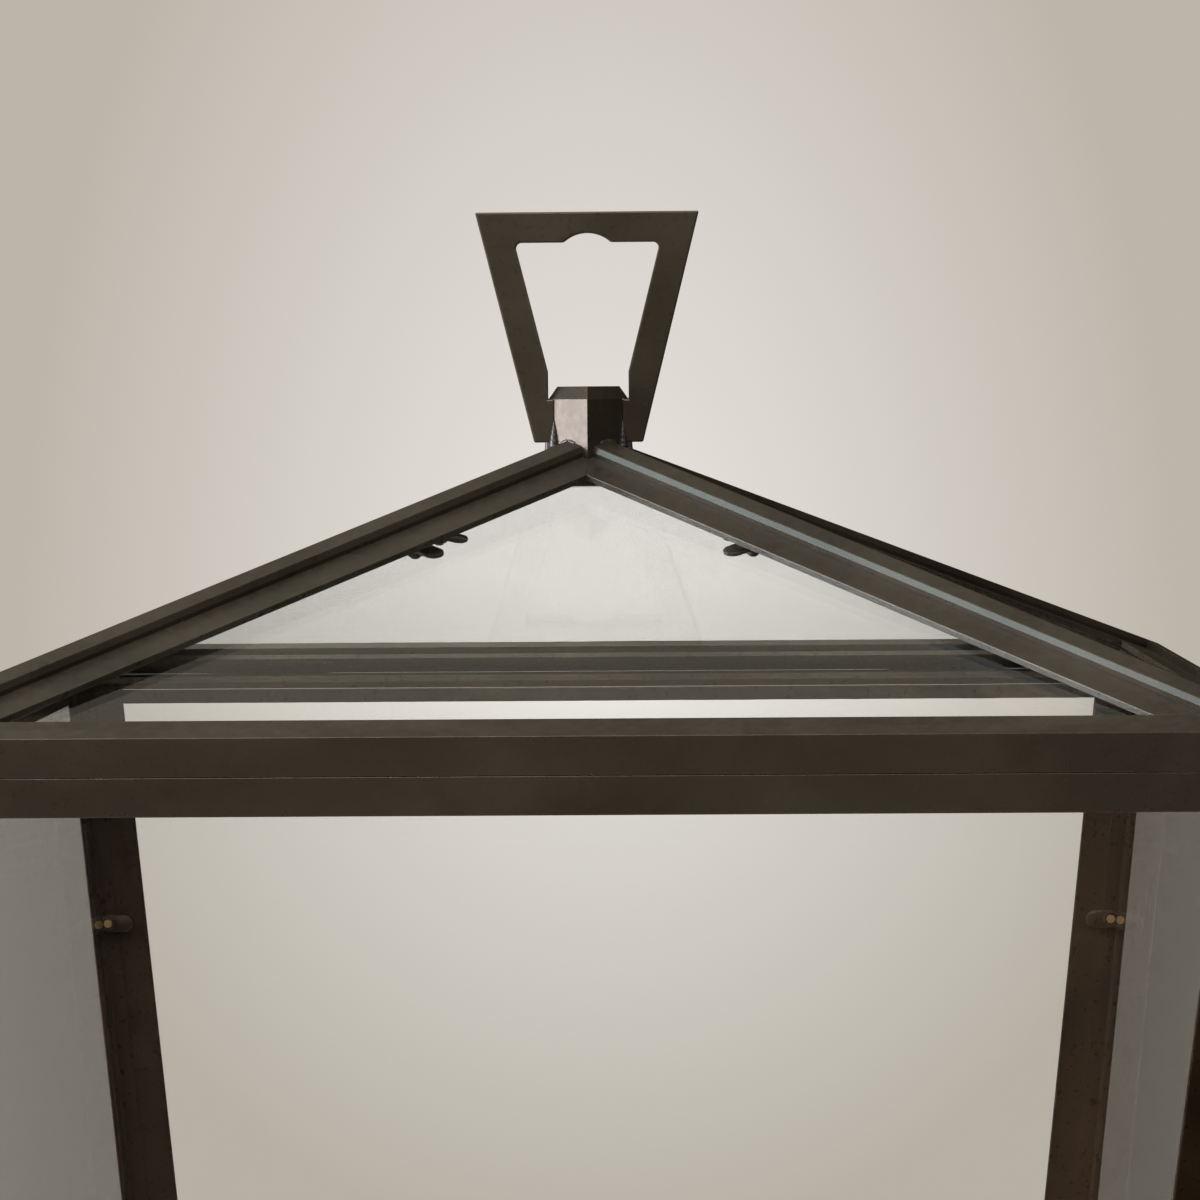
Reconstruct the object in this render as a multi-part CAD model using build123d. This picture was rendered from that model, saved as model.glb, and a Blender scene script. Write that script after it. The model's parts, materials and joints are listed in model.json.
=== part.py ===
from build123d import *
import math
import os

# Post top lantern: a tapered four-sided glass body on a post fitter, under a hinged hipped roof
# of stepped bars with clear panes. The origin is the centre of the fitter's mouth, +Z is up and
# -Y is the front. Every length is in millimetres and every angle in degrees.

# ---- overall form ----
EAVE_WIDTH = 356.0          # roof frame, fascia to fascia
ROOF_PITCH = 21.8           # slope of the cap faces
BODY_HEIGHT = 418.0         # floor plate to the underside of the top rail
BODY_BATTER = 6.5           # lean of each glazed face
FIT_GAP = 0.2               # general clearance between pieces that are put together
TURN_GAP = 0.15             # clearance round and beside pieces that turn
SEAT_GAP = 0.15             # roof frame over the top rail when it is shut

# ---- roof bars ----
CAP_STEP = 2.7              # height of the raised cap above the wing
WING_THICKNESS = 1.8
HIP_CAP = 5.7               # half of a hip cap, arris to step
HIP_WING = 16.6             # hip arris to the wing's edge
EAVE_CAP = 4.8              # fascia's face to the eave cap's step
EAVE_WING = 15.0            # fascia's face to the eave wing's edge
EAVE_LEDGE = 13.0           # ledge under the roof panes, from the fascia's face
LEDGE_THICKNESS = 1.5
FASCIA_HEIGHT = 9.5
FASCIA_THICKNESS = 2.0

# ---- glass and what holds it ----
GLASS_THICKNESS = 3.0
PANE_EAVE_GAP = 0.2         # wing to roof pane at the eave
PANE_APEX_GAP = 3.4         # wing to roof pane at the apex, where the clips let it sit lower
PANE_TOE = 3.4              # lower edge of a roof pane, in from the fascia's face
PANE_CROWN = 17.6           # cut-off top corner of a roof pane, from the axis
PANE_EDGE = 9.0             # edge of any pane, in from its corner line
STUD_RADIUS = 1.25
STUD_TAIL = 0.6
NUT_HEIGHT = 2.0            # room on a stud for its nut
CLIP_WIDTH = 5.4
CLIP_THICKNESS = 1.2
CLIP_CHAMFER = 1.5
ROOF_CLIP_REACH = 10.1      # stud to the clip's round tip
BODY_CLIP_REACH = 7.6
ROOF_CLIP_DOWN = 74.0       # apex to the stud, down the hip
BODY_CLIP_DROP = 68.6       # underside of the top rail to the stud, front and back
BODY_CLIP_STAGGER = 110.0   # how much lower the clips of the side panes sit

# ---- finial loop and boss ----
LOOP_TOP_WIDTH = 62.8
LOOP_FOOT_WIDTH = 30.6
LOOP_RISE = 61.8            # apex to the top edge
LOOP_DROP = 2.8             # apex to the feet
LOOP_THICKNESS = 3.5
LOOP_BAR = 8.5
LOOP_SLOT_WIDTH = 22.7
LOOP_LEG = 8.8              # outer edge to inner edge of a leg, level with the top bar's underside
LOOP_SLOT_TOP = 17.0        # apex to where the slot's sides turn upright
LOOP_NOTCH_CHORD = 13.2
LOOP_NOTCH_RISE = 2.6
LOOP_CORNER = 1.6
BOSS_SIDE = 16.0
BOSS_RISE = 12.9
BOSS_CHAMFER_HEIGHT = 3.6
BOSS_CHAMFER_INSET = 1.8
BOSS_STUD_RADIUS = 4.0
BOSS_STUD_DROP = 15.6       # apex to the stud's lower end
APEX_NUT_FLATS = 13.0
APEX_NUT_HEIGHT = 5.0
APEX_WASHER_RADIUS = 8.0
APEX_WASHER_THICKNESS = 1.5

# ---- body frame ----
POST_LEG = 18.0
POST_THICKNESS = 1.8
TOP_RAIL_FLANGE = 14.0
BASE_RAIL_HEIGHT = 19.0
BASE_RAIL_LEDGE = 16.0
BASE_RAIL_THICKNESS = 2.0
FLOOR_THICKNESS = 3.0
FLOOR_RIB_HEIGHT = 4.0
FLOOR_RIB_THICKNESS = 1.5
WEEP_HOLE = 5.0             # side of the square hole in each corner
WEEP_HOLE_INSET = 24.0

# ---- hinges ----
HINGE_SPACING = 220.0
HINGE_LENGTH = 36.0
HINGE_LEAF_THICKNESS = 1.5
HINGE_LEAF_HEIGHT = 8.0
KNUCKLE_RADIUS = 3.0
KNUCKLE_CLEARANCE = 0.3
HINGE_PIN_RADIUS = 1.5

# ---- post fitter ----
FITTER_BORE_RADIUS = 38.5
FITTER_WALL = 3.0
FITTER_DEPTH = 78.0         # mouth to the underside of the floor plate
FITTER_SOCKET_DEPTH = 64.0  # mouth to the shoulder that stops the post
FITTER_SHOULDER_RADIUS = 32.0    # opening above the shoulder
FITTER_FLANGE_RADIUS = 60.0
FITTER_FLANGE_THICKNESS = 4.0
FITTER_COLLAR = 3.0         # height and width of the collar under the flange
FITTER_BOLT_CIRCLE = 52.0   # radius of the bolt circle
FITTER_BOLT_RADIUS = 2.5
FITTER_BOLT_FLATS = 8.0
FITTER_BOLT_HEAD = 3.5
FITTER_BOLT_TAIL = 5.0      # above the floor, for its nut
SCREW_HEIGHT = 36.0
SCREW_RADIUS = 3.0
SCREW_PAD_FLATS = 13.0
SCREW_PAD_HEIGHT = 3.0
SCREW_GRIP = 6.0            # shank that shows between the pad and the head
SCREW_FLATS = 12.0
SCREW_HEAD_HEIGHT = 5.0

# ---- lamp ----
STEM_RADIUS = 5.0
STEM_BORE = 3.5
STEM_DROP = 10.0            # stem below the floor plate
STEM_LOCKNUT_FLATS = 16.0
STEM_LOCKNUT_HEIGHT = 4.0
STEM_HEIGHT = 62.0          # floor plate to the drip cup
CUP_RADIUS = 27.0
CUP_THICKNESS = 1.2
CUP_RIM = 6.0               # underside to the rim's edge
SLEEVE_RADIUS = 17.5
SLEEVE_WALL = 1.5
SLEEVE_HEIGHT = 96.0
HOLDER_RADIUS = 15.6
HOLDER_HEIGHT = 46.0
HOLDER_SOCKET_DEPTH = 27.0
BULB_CAP_RADIUS = 13.2
BULB_CAP_HEIGHT = 28.0
BULB_RADIUS = 16.0
BULB_NECK = 6.0             # height of the sloped neck and of the sloped crown
BULB_CROWN_RADIUS = 9.0
BULB_HEIGHT = 90.0
BULB_WALL = 1.0

# ---- sizes that follow ----
HALF_EAVE = EAVE_WIDTH / 2
PITCH = math.radians(ROOF_PITCH)
SLOPE_LENGTH = HALF_EAVE / math.cos(PITCH)
HIP_SPREAD = math.atan(math.cos(PITCH))       # half of a roof pane's top angle
BATTER = math.radians(BODY_BATTER)
FLOOR_UNDERSIDE = FITTER_DEPTH
FLOOR_TOP = FLOOR_UNDERSIDE + FLOOR_THICKNESS
RAIL_UNDERSIDE = FLOOR_TOP + BODY_HEIGHT
SEAM = RAIL_UNDERSIDE + FASCIA_HEIGHT         # top of the body, where the roof lifts off
ROOF_FOOT = SEAM + SEAT_GAP
EAVE_TOP = ROOF_FOOT + FASCIA_HEIGHT
APEX = EAVE_TOP + HALF_EAVE * math.tan(PITCH)
WING_UNDERSIDE = CAP_STEP + WING_THICKNESS    # both are square to the slope, below the cap face
PANE_SLACK = math.atan((PANE_APEX_GAP - PANE_EAVE_GAP) / SLOPE_LENGTH)
PANE_PITCH = PITCH - PANE_SLACK
RAIL_FLANGE_UNDERSIDE = SEAM - FASCIA_THICKNESS                  # what the posts reach up to
POST_TOP_HALF = HALF_EAVE - FASCIA_THICKNESS - FIT_GAP            # across the posts' tops, inside the rail
BODY_TOP_HALF = POST_TOP_HALF - (RAIL_FLANGE_UNDERSIDE - RAIL_UNDERSIDE) * math.tan(BATTER)
BODY_PANE_DEPTH = POST_THICKNESS + FIT_GAP
CLIP_DEPTH = GLASS_THICKNESS + TURN_GAP       # outer face of a pane to the clip
STUD_INSET = BODY_PANE_DEPTH + GLASS_THICKNESS + STUD_RADIUS + FIT_GAP    # from a corner line
ROOF_CLIP_STAGGER = 2 * ROOF_CLIP_REACH       # the side panes' clips clear the front and back ones
STUD_LENGTH = CLIP_DEPTH + CLIP_THICKNESS + TURN_GAP + NUT_HEIGHT + STUD_TAIL
HINGE_AXIS_Y = HALF_EAVE + KNUCKLE_RADIUS + KNUCKLE_CLEARANCE
FAR = 2 * EAVE_WIDTH                          # longer than anything that is trimmed
SIDES = ("front", "right", "back", "left")
CORNERS = ("front_left", "front_right", "back_right", "back_left")


def slab(points, plane, thickness):
    """Plate of the given outline on a plane, growing to the plane's back."""
    return extrude(plane * make_face(Polyline(*points, close=True)), amount=-thickness)


def prism(points, bottom, top):
    """Upright prism of a plan outline."""
    plan = make_face(Polyline(*points, close=True))
    return extrude(Pos(0, 0, bottom) * plan, amount=top - bottom)


def four(piece):
    """A front piece on all four sides, each copy its own solid."""
    return Compound(children=[around(piece, quarter).solid() for quarter in range(4)])


def half_corner():
    """Plan wedge from the front centre line to the front left corner's mitre."""
    return prism([(0, 0), (-FAR, -FAR), (0, -FAR)], -FAR, FAR)


def front_quarter():
    """Plan wedge between the two front mitres."""
    return prism([(0, 0), (-FAR, -FAR), (FAR, -FAR)], -FAR, FAR)


def mitred_pair(half):
    """Join one leg of a corner piece to its mirror image across the mitre."""
    trimmed = half & half_corner()
    return trimmed + mirror(trimmed, about=Plane((0, 0, 0), z_dir=(1, -1, 0)))


def around(shape, quarter):
    """Turn a front piece to one of the four sides."""
    return Rot(0, 0, 90 * quarter) * shape


def bore(radius, height, bottom=0.0):
    """Upright cylinder standing on a level."""
    return Pos(0, 0, bottom) * Cylinder(radius, height, align=(Align.CENTER, Align.CENTER, Align.MIN))


def hexagon_nut(flats, height, hole):
    """Hexagon nut standing on the origin."""
    body = extrude(RegularPolygon(flats / 2, 6, major_radius=False), amount=height)
    return body - bore(hole, height)


# ---- roof geometry, front slope ----
def slope_plane(depth):
    """Plane of the front slope, a depth below the cap faces, with its origin under the apex."""
    normal = Vector(0, -math.sin(PITCH), math.cos(PITCH))
    return Plane(Vector(0, 0, APEX) - normal * depth, x_dir=(1, 0, 0), z_dir=normal)


def hip_point(down, across):
    """Point of the front slope, measured down the left hip and square to it."""
    return (
        -down * math.sin(HIP_SPREAD) + across * math.cos(HIP_SPREAD),
        -down * math.cos(HIP_SPREAD) - across * math.sin(HIP_SPREAD),
    )


def hip_strip(width, end):
    """Outline of a strip along the left hip that ends square to the eave."""
    spare = 2 * WING_UNDERSIDE

    def foot(across):
        down = (SLOPE_LENGTH - end - across * math.sin(HIP_SPREAD)) / math.cos(HIP_SPREAD)
        return hip_point(down, across)

    return [hip_point(-width, -spare), foot(-spare), foot(width), hip_point(-width, width)]


def roof_below(depth):
    """Everything under the four slopes, a depth below the cap faces."""
    drop = depth / math.cos(PITCH)
    rise = FAR * math.tan(PITCH)
    outline = [(-FAR, APEX - drop - rise), (0, APEX - drop), (FAR, APEX - drop - rise)]
    gable = extrude(Plane.XZ * make_face(Polyline(*outline, close=True)), amount=FAR, both=True)
    return gable & around(gable, 1)


def make_hip_rafter():
    """Stepped hip bar: a raised cap over two wings, one on each slope."""
    cap = slab(hip_strip(HIP_CAP, EAVE_CAP), slope_plane(0), CAP_STEP)
    wing = slab(hip_strip(HIP_WING, EAVE_WING), slope_plane(CAP_STEP), WING_THICKNESS)
    bar = mitred_pair(cap + wing)
    return bar - bore(BOSS_STUD_RADIUS + FIT_GAP, FAR)


def make_eave_rail():
    """Front eave bar: fascia, stepped top flange over the glass and a ledge under it."""

    def at(up, out):
        run = up * math.cos(PITCH) - out * math.sin(PITCH)
        rise = up * math.sin(PITCH) + out * math.cos(PITCH)
        return (-HALF_EAVE + run, EAVE_TOP + rise)

    def ledge(up, lower=0.0):
        gap = PANE_EAVE_GAP + up * math.tan(PANE_SLACK)
        return at(up, -(WING_UNDERSIDE + gap + GLASS_THICKNESS + FIT_GAP + lower))

    def on_wall(point, slope):
        wall = -HALF_EAVE + FASCIA_THICKNESS
        return (wall, point[1] + (wall - point[0]) * math.tan(slope))

    wing_under = at(EAVE_WING, -WING_UNDERSIDE)
    ledge_over = ledge(EAVE_LEDGE)
    outline = [
        (-HALF_EAVE, ROOF_FOOT),
        (-HALF_EAVE, EAVE_TOP),
        at(EAVE_CAP, 0),
        at(EAVE_CAP, -CAP_STEP),
        at(EAVE_WING, -CAP_STEP),
        wing_under,
        on_wall(wing_under, PITCH),
        on_wall(ledge_over, PANE_PITCH),
        ledge_over,
        ledge(EAVE_LEDGE, LEDGE_THICKNESS),
        on_wall(ledge(EAVE_LEDGE, LEDGE_THICKNESS), PANE_PITCH),
        (-HALF_EAVE + FASCIA_THICKNESS, ROOF_FOOT),
    ]
    section = make_face(Polyline(*outline, close=True))
    bar = extrude(Plane.YZ * section, amount=FAR, both=True)
    return bar & front_quarter()


# ---- roof panes and clips ----
def roof_pane_plane():
    """Outer face of the front roof pane, with its origin at the eave."""
    normal = Vector(0, -math.sin(PITCH), math.cos(PITCH))
    eave = Vector(0, -HALF_EAVE, EAVE_TOP) - normal * (WING_UNDERSIDE + PANE_EAVE_GAP)
    return Plane(eave, x_dir=(1, 0, 0), z_dir=(0, -math.sin(PANE_PITCH), math.cos(PANE_PITCH)))


def make_roof_pane():
    """Front roof pane: a triangle with its top corner cut off."""

    def edge_x(up):
        return -(SLOPE_LENGTH - up) * math.tan(HIP_SPREAD) + PANE_EDGE / math.cos(HIP_SPREAD)

    crown = SLOPE_LENGTH - PANE_CROWN / math.cos(PITCH)
    left = [(edge_x(PANE_TOE), PANE_TOE), (edge_x(crown), crown)]
    right = [(-x, y) for x, y in reversed(left)]
    return slab(left + right, roof_pane_plane(), GLASS_THICKNESS)


def roof_clip_place(down, side):
    """Frame at a roof clip's stud: on the pane's outer face, X towards the clip's tip."""
    across = hip_point(down, STUD_INSET)
    turn = -math.degrees(HIP_SPREAD)
    spot = (side * -across[0], SLOPE_LENGTH + across[1])
    angle = turn if side < 0 else 180 - turn
    return roof_pane_plane().location * Pos(spot[0], spot[1], 0) * Rot(0, 0, angle)


def body_clip_place(drop, side):
    """Frame at a body clip's stud: on the pane's outer face, X towards the clip's tip."""
    level = RAIL_UNDERSIDE - drop
    spot = (side * (body_half(level) - STUD_INSET), face_height(level))
    inward = 0 if side < 0 else 180
    return body_face_plane(BODY_PANE_DEPTH).location * Pos(*spot, 0) * Rot(0, 0, inward)


def clip(reach):
    """Flat turn clip with bevelled ends, its hole on the origin and its outer face at the top."""
    heel = -CLIP_WIDTH / 2
    side = CLIP_WIDTH / 2
    bevel = CLIP_CHAMFER
    upper = [(reach, side - bevel), (reach - bevel, side), (heel + bevel, side), (heel, side - bevel)]
    lower = [(x, -y) for x, y in reversed(upper)]
    outline = make_face(Polyline(*upper, *lower, close=True)) - Circle(STUD_RADIUS + TURN_GAP / 2)
    return Pos(0, 0, -CLIP_DEPTH) * extrude(outline, amount=-CLIP_THICKNESS)


def stud(head):
    """Clip stud, from its foot above the pane's outer face to its tail."""
    return bore(STUD_RADIUS, STUD_LENGTH + head, -STUD_LENGTH)


def roof_clip_frames():
    """Name and frame of each roof clip's stud."""
    for quarter, name in enumerate(SIDES):
        for side, hand in ((-1, "a"), (1, "b")):
            place = roof_clip_place(ROOF_CLIP_DOWN + quarter % 2 * ROOF_CLIP_STAGGER, side)
            yield f"roof_clip_{name}_{hand}", Rot(0, 0, 90 * quarter) * place


def body_clip_frames():
    """Name and frame of each body clip's stud."""
    for quarter, name in enumerate(SIDES):
        for side, hand in ((-1, "a"), (1, "b")):
            place = body_clip_place(BODY_CLIP_DROP + quarter % 2 * BODY_CLIP_STAGGER, side)
            yield f"body_clip_{name}_{hand}", Rot(0, 0, 90 * quarter) * place


def make_roof_studs():
    """Clip studs under the hip wings, cut to the wings' undersides."""
    wings = roof_below(WING_UNDERSIDE)
    spare = PANE_APEX_GAP + 2 * STUD_RADIUS
    studs = [(place * stud(spare)) & wings for _, place in roof_clip_frames()]
    return Compound(children=[piece.solid() for piece in studs])


def make_body_studs():
    """Clip studs on the inner faces of the posts."""
    studs = [place * stud(FIT_GAP) for _, place in body_clip_frames()]
    return Compound(children=[piece.solid() for piece in studs])


# ---- finial loop and boss ----
def make_finial_loop():
    """Flat loop that straddles the boss, narrow at its feet, with an arched notch in its bar."""
    top, foot = LOOP_TOP_WIDTH / 2, LOOP_FOOT_WIDTH / 2
    outer = [(-foot, -LOOP_DROP), (-top, LOOP_RISE), (top, LOOP_RISE), (foot, -LOOP_DROP)]
    lean = (top - foot) / (LOOP_RISE + LOOP_DROP)
    bar = LOOP_RISE - LOOP_BAR
    inner_top = foot + (bar + LOOP_DROP) * lean - LOOP_LEG
    slot = LOOP_SLOT_WIDTH / 2
    seat = boss_slot_floor()
    shoulder = boss_shoulder()
    right = [(seat, -LOOP_DROP), (seat, shoulder), (slot, shoulder), (slot, LOOP_SLOT_TOP)]
    left = [(-x, z) for x, z in reversed(right)]
    opening = make_face(Polyline(*right, (inner_top, bar), (-inner_top, bar), *left, close=True))
    corners = [v for v in opening.vertices() if abs(v.Y - bar) < LOOP_CORNER / 2]
    opening = fillet(corners, LOOP_CORNER)
    half_chord = LOOP_NOTCH_CHORD / 2
    radius = (half_chord**2 + LOOP_NOTCH_RISE**2) / (2 * LOOP_NOTCH_RISE)
    opening += Pos(0, bar + LOOP_NOTCH_RISE - radius) * Circle(radius)
    plate = make_face(Polyline(*outer, close=True)) - opening
    flat = Plane((0, LOOP_THICKNESS / 2, APEX), x_dir=(1, 0, 0), z_dir=(0, -1, 0))
    return extrude(flat * plate, amount=LOOP_THICKNESS)


def boss_slot_floor():
    """Half the distance between the floors of the boss's two side slots."""
    return BOSS_SIDE / math.sqrt(2) - LOOP_THICKNESS / 2


def boss_shoulder():
    """Height above the apex at which the boss's sides end and its crown begins."""
    return BOSS_RISE - BOSS_CHAMFER_HEIGHT


def make_apex_boss():
    """Square boss turned on its corner, slotted for the loop, with the stud that clamps the bars."""
    square = Rectangle(BOSS_SIDE, BOSS_SIDE, rotation=45)
    shoulder = APEX + boss_shoulder()
    shaft = extrude(Pos(0, 0, APEX - BOSS_RISE) * square, amount=shoulder - APEX + BOSS_RISE)
    splay = math.degrees(math.atan(BOSS_CHAMFER_INSET / BOSS_CHAMFER_HEIGHT))
    crown = extrude(Pos(0, 0, shoulder) * square, amount=BOSS_CHAMFER_HEIGHT, taper=splay)
    boss = shaft + crown - roof_below(CAP_STEP)
    for corner in range(4):
        boss -= around(make_hip_rafter(), corner)
    leg = boss_shoulder() + LOOP_DROP
    slot = Box(BOSS_SIDE, LOOP_THICKNESS, leg, align=(Align.MIN, Align.CENTER, Align.MIN))
    for turn in (0, 180):
        boss -= Rot(0, 0, turn) * Pos(boss_slot_floor(), 0, APEX - LOOP_DROP) * slot
    return boss + bore(BOSS_STUD_RADIUS, BOSS_STUD_DROP, APEX - BOSS_STUD_DROP)


def washer_top():
    """Level at which the flat washer meets the four wings."""
    return APEX - WING_UNDERSIDE / math.cos(PITCH) - APEX_WASHER_RADIUS * math.tan(PITCH)


def make_apex_nut():
    """Washer and nut under the bars, on the boss's stud."""
    hole = BOSS_STUD_RADIUS + FIT_GAP / 4
    washer = bore(APEX_WASHER_RADIUS, APEX_WASHER_THICKNESS) - bore(hole, APEX_WASHER_THICKNESS)
    nut = hexagon_nut(APEX_NUT_FLATS, APEX_NUT_HEIGHT, hole)
    bottom = washer_top() - APEX_WASHER_THICKNESS
    pieces = [Pos(0, 0, bottom) * washer, Pos(0, 0, bottom - APEX_NUT_HEIGHT) * nut]
    return Compound(children=[piece.solid() for piece in pieces])


# ---- body geometry, front face ----
def body_half(level):
    """Half the width across the post faces at a level."""
    return BODY_TOP_HALF + (level - RAIL_UNDERSIDE) * math.tan(BATTER)


def face_height(level):
    """Distance up the leaning face, from the underside of the top rail."""
    return (level - RAIL_UNDERSIDE) / math.cos(BATTER)


def body_face_plane(depth):
    """Plane of the front posts' outer faces, moved inwards by a depth."""
    normal = Vector(0, -math.cos(BATTER), -math.sin(BATTER))
    corner = Vector(0, -BODY_TOP_HALF, RAIL_UNDERSIDE) - normal * depth
    return Plane(corner, x_dir=(1, 0, 0), z_dir=normal)


def make_corner_post():
    """Angle post of the front left corner, leaning both ways."""
    spare = 2 * POST_THICKNESS
    low, high = FLOOR_TOP - spare, SEAM
    points = [
        (-body_half(low) - spare, face_height(low)),
        (-body_half(low) + POST_LEG, face_height(low)),
        (-body_half(high) + POST_LEG, face_height(high)),
        (-body_half(high) - spare, face_height(high)),
    ]
    post = mitred_pair(slab(points, body_face_plane(0), POST_THICKNESS))
    everywhere = [(-FAR, -FAR), (FAR, -FAR), (FAR, FAR), (-FAR, FAR)]
    standing = prism(everywhere, FLOOR_TOP, RAIL_FLANGE_UNDERSIDE)
    return post & standing


def make_body_pane():
    """Front body pane, standing on the floor plate behind the posts."""
    low, high = FLOOR_TOP + FIT_GAP, RAIL_FLANGE_UNDERSIDE - GLASS_THICKNESS
    left = [(-body_half(z) + PANE_EDGE, face_height(z)) for z in (low, high)]
    right = [(-x, y) for x, y in reversed(left)]
    return slab(left + right, body_face_plane(BODY_PANE_DEPTH), GLASS_THICKNESS)


def make_top_rail():
    """Front top rail: a fascia under the roof's, with a flange that carries the posts."""
    flange = RAIL_FLANGE_UNDERSIDE
    outline = [
        (-HALF_EAVE, RAIL_UNDERSIDE),
        (-HALF_EAVE, SEAM),
        (-HALF_EAVE + TOP_RAIL_FLANGE, SEAM),
        (-HALF_EAVE + TOP_RAIL_FLANGE, flange),
        (-HALF_EAVE + FASCIA_THICKNESS, flange),
        (-HALF_EAVE + FASCIA_THICKNESS, RAIL_UNDERSIDE),
    ]
    section = make_face(Polyline(*outline, close=True))
    return extrude(Plane.YZ * section, amount=FAR, both=True) & front_quarter()


def base_inner_half():
    """Inside half width of the base rails, clear of the posts behind them."""
    return body_half(FLOOR_UNDERSIDE - BASE_RAIL_THICKNESS + BASE_RAIL_HEIGHT) + FIT_GAP


def make_base_rail():
    """Front base rail: an upright face round the posts' feet and a ledge under the floor."""
    outer = base_inner_half() + BASE_RAIL_THICKNESS
    foot = FLOOR_UNDERSIDE - BASE_RAIL_THICKNESS
    outline = [
        (-outer, foot),
        (-outer, foot + BASE_RAIL_HEIGHT),
        (-base_inner_half(), foot + BASE_RAIL_HEIGHT),
        (-base_inner_half(), FLOOR_UNDERSIDE),
        (-outer + BASE_RAIL_LEDGE, FLOOR_UNDERSIDE),
        (-outer + BASE_RAIL_LEDGE, foot),
    ]
    section = make_face(Polyline(*outline, close=True))
    return extrude(Plane.YZ * section, amount=FAR, both=True) & front_quarter()


def make_floor_plate():
    """Square floor with ribs that keep the panes' feet out, bolt holes, weep holes and stem hole."""
    half = base_inner_half() - FIT_GAP
    floor = Box(2 * half, 2 * half, FLOOR_THICKNESS, align=(Align.CENTER, Align.CENTER, Align.MIN))
    rib_out = body_half(FLOOR_TOP) - (BODY_PANE_DEPTH + GLASS_THICKNESS) / math.cos(BATTER) - FIT_GAP
    standing = (Align.CENTER, Align.MIN, Align.MIN)
    rib = Box(2 * (rib_out - POST_LEG), FLOOR_RIB_THICKNESS, FLOOR_RIB_HEIGHT, align=standing)
    plate = Pos(0, 0, FLOOR_UNDERSIDE) * floor
    for quarter in range(4):
        plate += around(Pos(0, -rib_out, FLOOR_TOP) * rib, quarter)
    weep = Pos(WEEP_HOLE_INSET - half, WEEP_HOLE_INSET - half) * Box(WEEP_HOLE, WEEP_HOLE, FAR)
    for quarter in range(4):
        plate -= around(weep, quarter)
    for hole in at_fitter_bolts(bore(FITTER_BOLT_RADIUS + FIT_GAP, FAR)):
        plate -= hole
    return plate - bore(STEM_RADIUS + FIT_GAP, FAR)


# ---- hinges at the back ----
def across_hinge(start, length, radius):
    """Cylinder along X on the hinge line, from a start beside the hinge's middle."""
    rod = Rot(0, 90, 0) * bore(radius, length)
    return Pos(start, HINGE_AXIS_Y, SEAM) * rod


def knuckle_spans():
    """Start and length of the two outer knuckles and of the middle one."""
    third = HINGE_LENGTH / 3
    length = third - KNUCKLE_CLEARANCE
    outer = [(-HINGE_LENGTH / 2, length), (HINGE_LENGTH / 2 - length, length)]
    return outer, [(-length / 2, length)]


def make_hinge_leaf(own, other, upward):
    """One hinge leaf: a plate on the fascia with its knuckles, clear of the other leaf's."""
    standing = (Align.CENTER, Align.MIN, Align.MIN)
    lower = SEAM + SEAT_GAP if upward else SEAM - HINGE_LEAF_HEIGHT
    height = HINGE_LEAF_HEIGHT - (SEAT_GAP if upward else 0)
    leaf = Pos(0, HALF_EAVE, lower) * Box(HINGE_LENGTH, HINGE_LEAF_THICKNESS, height, align=standing)
    root = SEAM + SEAT_GAP if upward else SEAM - HINGE_LEAF_THICKNESS
    for start, length in own:
        web = Box(length, HINGE_AXIS_Y - HALF_EAVE, HINGE_LEAF_THICKNESS, align=standing)
        leaf += Pos(start + length / 2, HALF_EAVE, root) * web
        leaf += across_hinge(start, length, KNUCKLE_RADIUS)
    for start, length in other:
        reach = length + 2 * KNUCKLE_CLEARANCE
        leaf -= across_hinge(start - KNUCKLE_CLEARANCE, reach, KNUCKLE_RADIUS + KNUCKLE_CLEARANCE)
    return leaf - across_hinge(-HINGE_LENGTH, 2 * HINGE_LENGTH, HINGE_PIN_RADIUS + TURN_GAP / 2)


def pair_of_hinges(piece):
    """The same piece at both hinges."""
    places = [Pos(side * HINGE_SPACING / 2, 0, 0) * piece for side in (-1, 1)]
    return Compound(children=[place.solid() for place in places])


def make_hinge_pin():
    """Plain pin through the knuckles of one hinge, showing a little at both ends."""
    start = -HINGE_LENGTH / 2 - HINGE_PIN_RADIUS
    return across_hinge(start, -2 * start, HINGE_PIN_RADIUS)


# ---- post fitter ----
def screw_axis(turn):
    """Frame of a clamping screw, Z pointing out of the fitter."""
    return Rot(0, 0, 90 + 120 * turn) * Pos(0, 0, SCREW_HEIGHT) * Rot(0, 90, 0)


def at_fitter_bolts(piece):
    """The same piece at each of the flange's four bolts."""
    return [Rot(0, 0, 45 + 90 * turn) * Pos(FITTER_BOLT_CIRCLE, 0) * piece for turn in range(4)]


def fitter_outer_radius():
    """Outside radius of the fitter's tube."""
    return FITTER_BORE_RADIUS + FITTER_WALL


def flange_underside():
    """Level of the fitter flange's underside."""
    return FITTER_DEPTH - FITTER_FLANGE_THICKNESS


def make_post_fitter():
    """Round socket with a shoulder for the post, a collar under the flange and three screw pads."""
    outer = fitter_outer_radius()
    collar = bore(outer + FITTER_COLLAR, FITTER_COLLAR, flange_underside() - FITTER_COLLAR)
    fitter = bore(outer, FITTER_DEPTH) + collar
    pad = RegularPolygon(SCREW_PAD_FLATS / 2, 6, major_radius=False)
    for turn in range(3):
        fitter += screw_axis(turn) * extrude(pad, amount=outer + SCREW_PAD_HEIGHT)
        fitter -= screw_axis(turn) * bore(SCREW_RADIUS + TURN_GAP / 2, FAR)
    return fitter - bore(FITTER_BORE_RADIUS, FITTER_SOCKET_DEPTH) - bore(FITTER_SHOULDER_RADIUS, FITTER_DEPTH)


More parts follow.
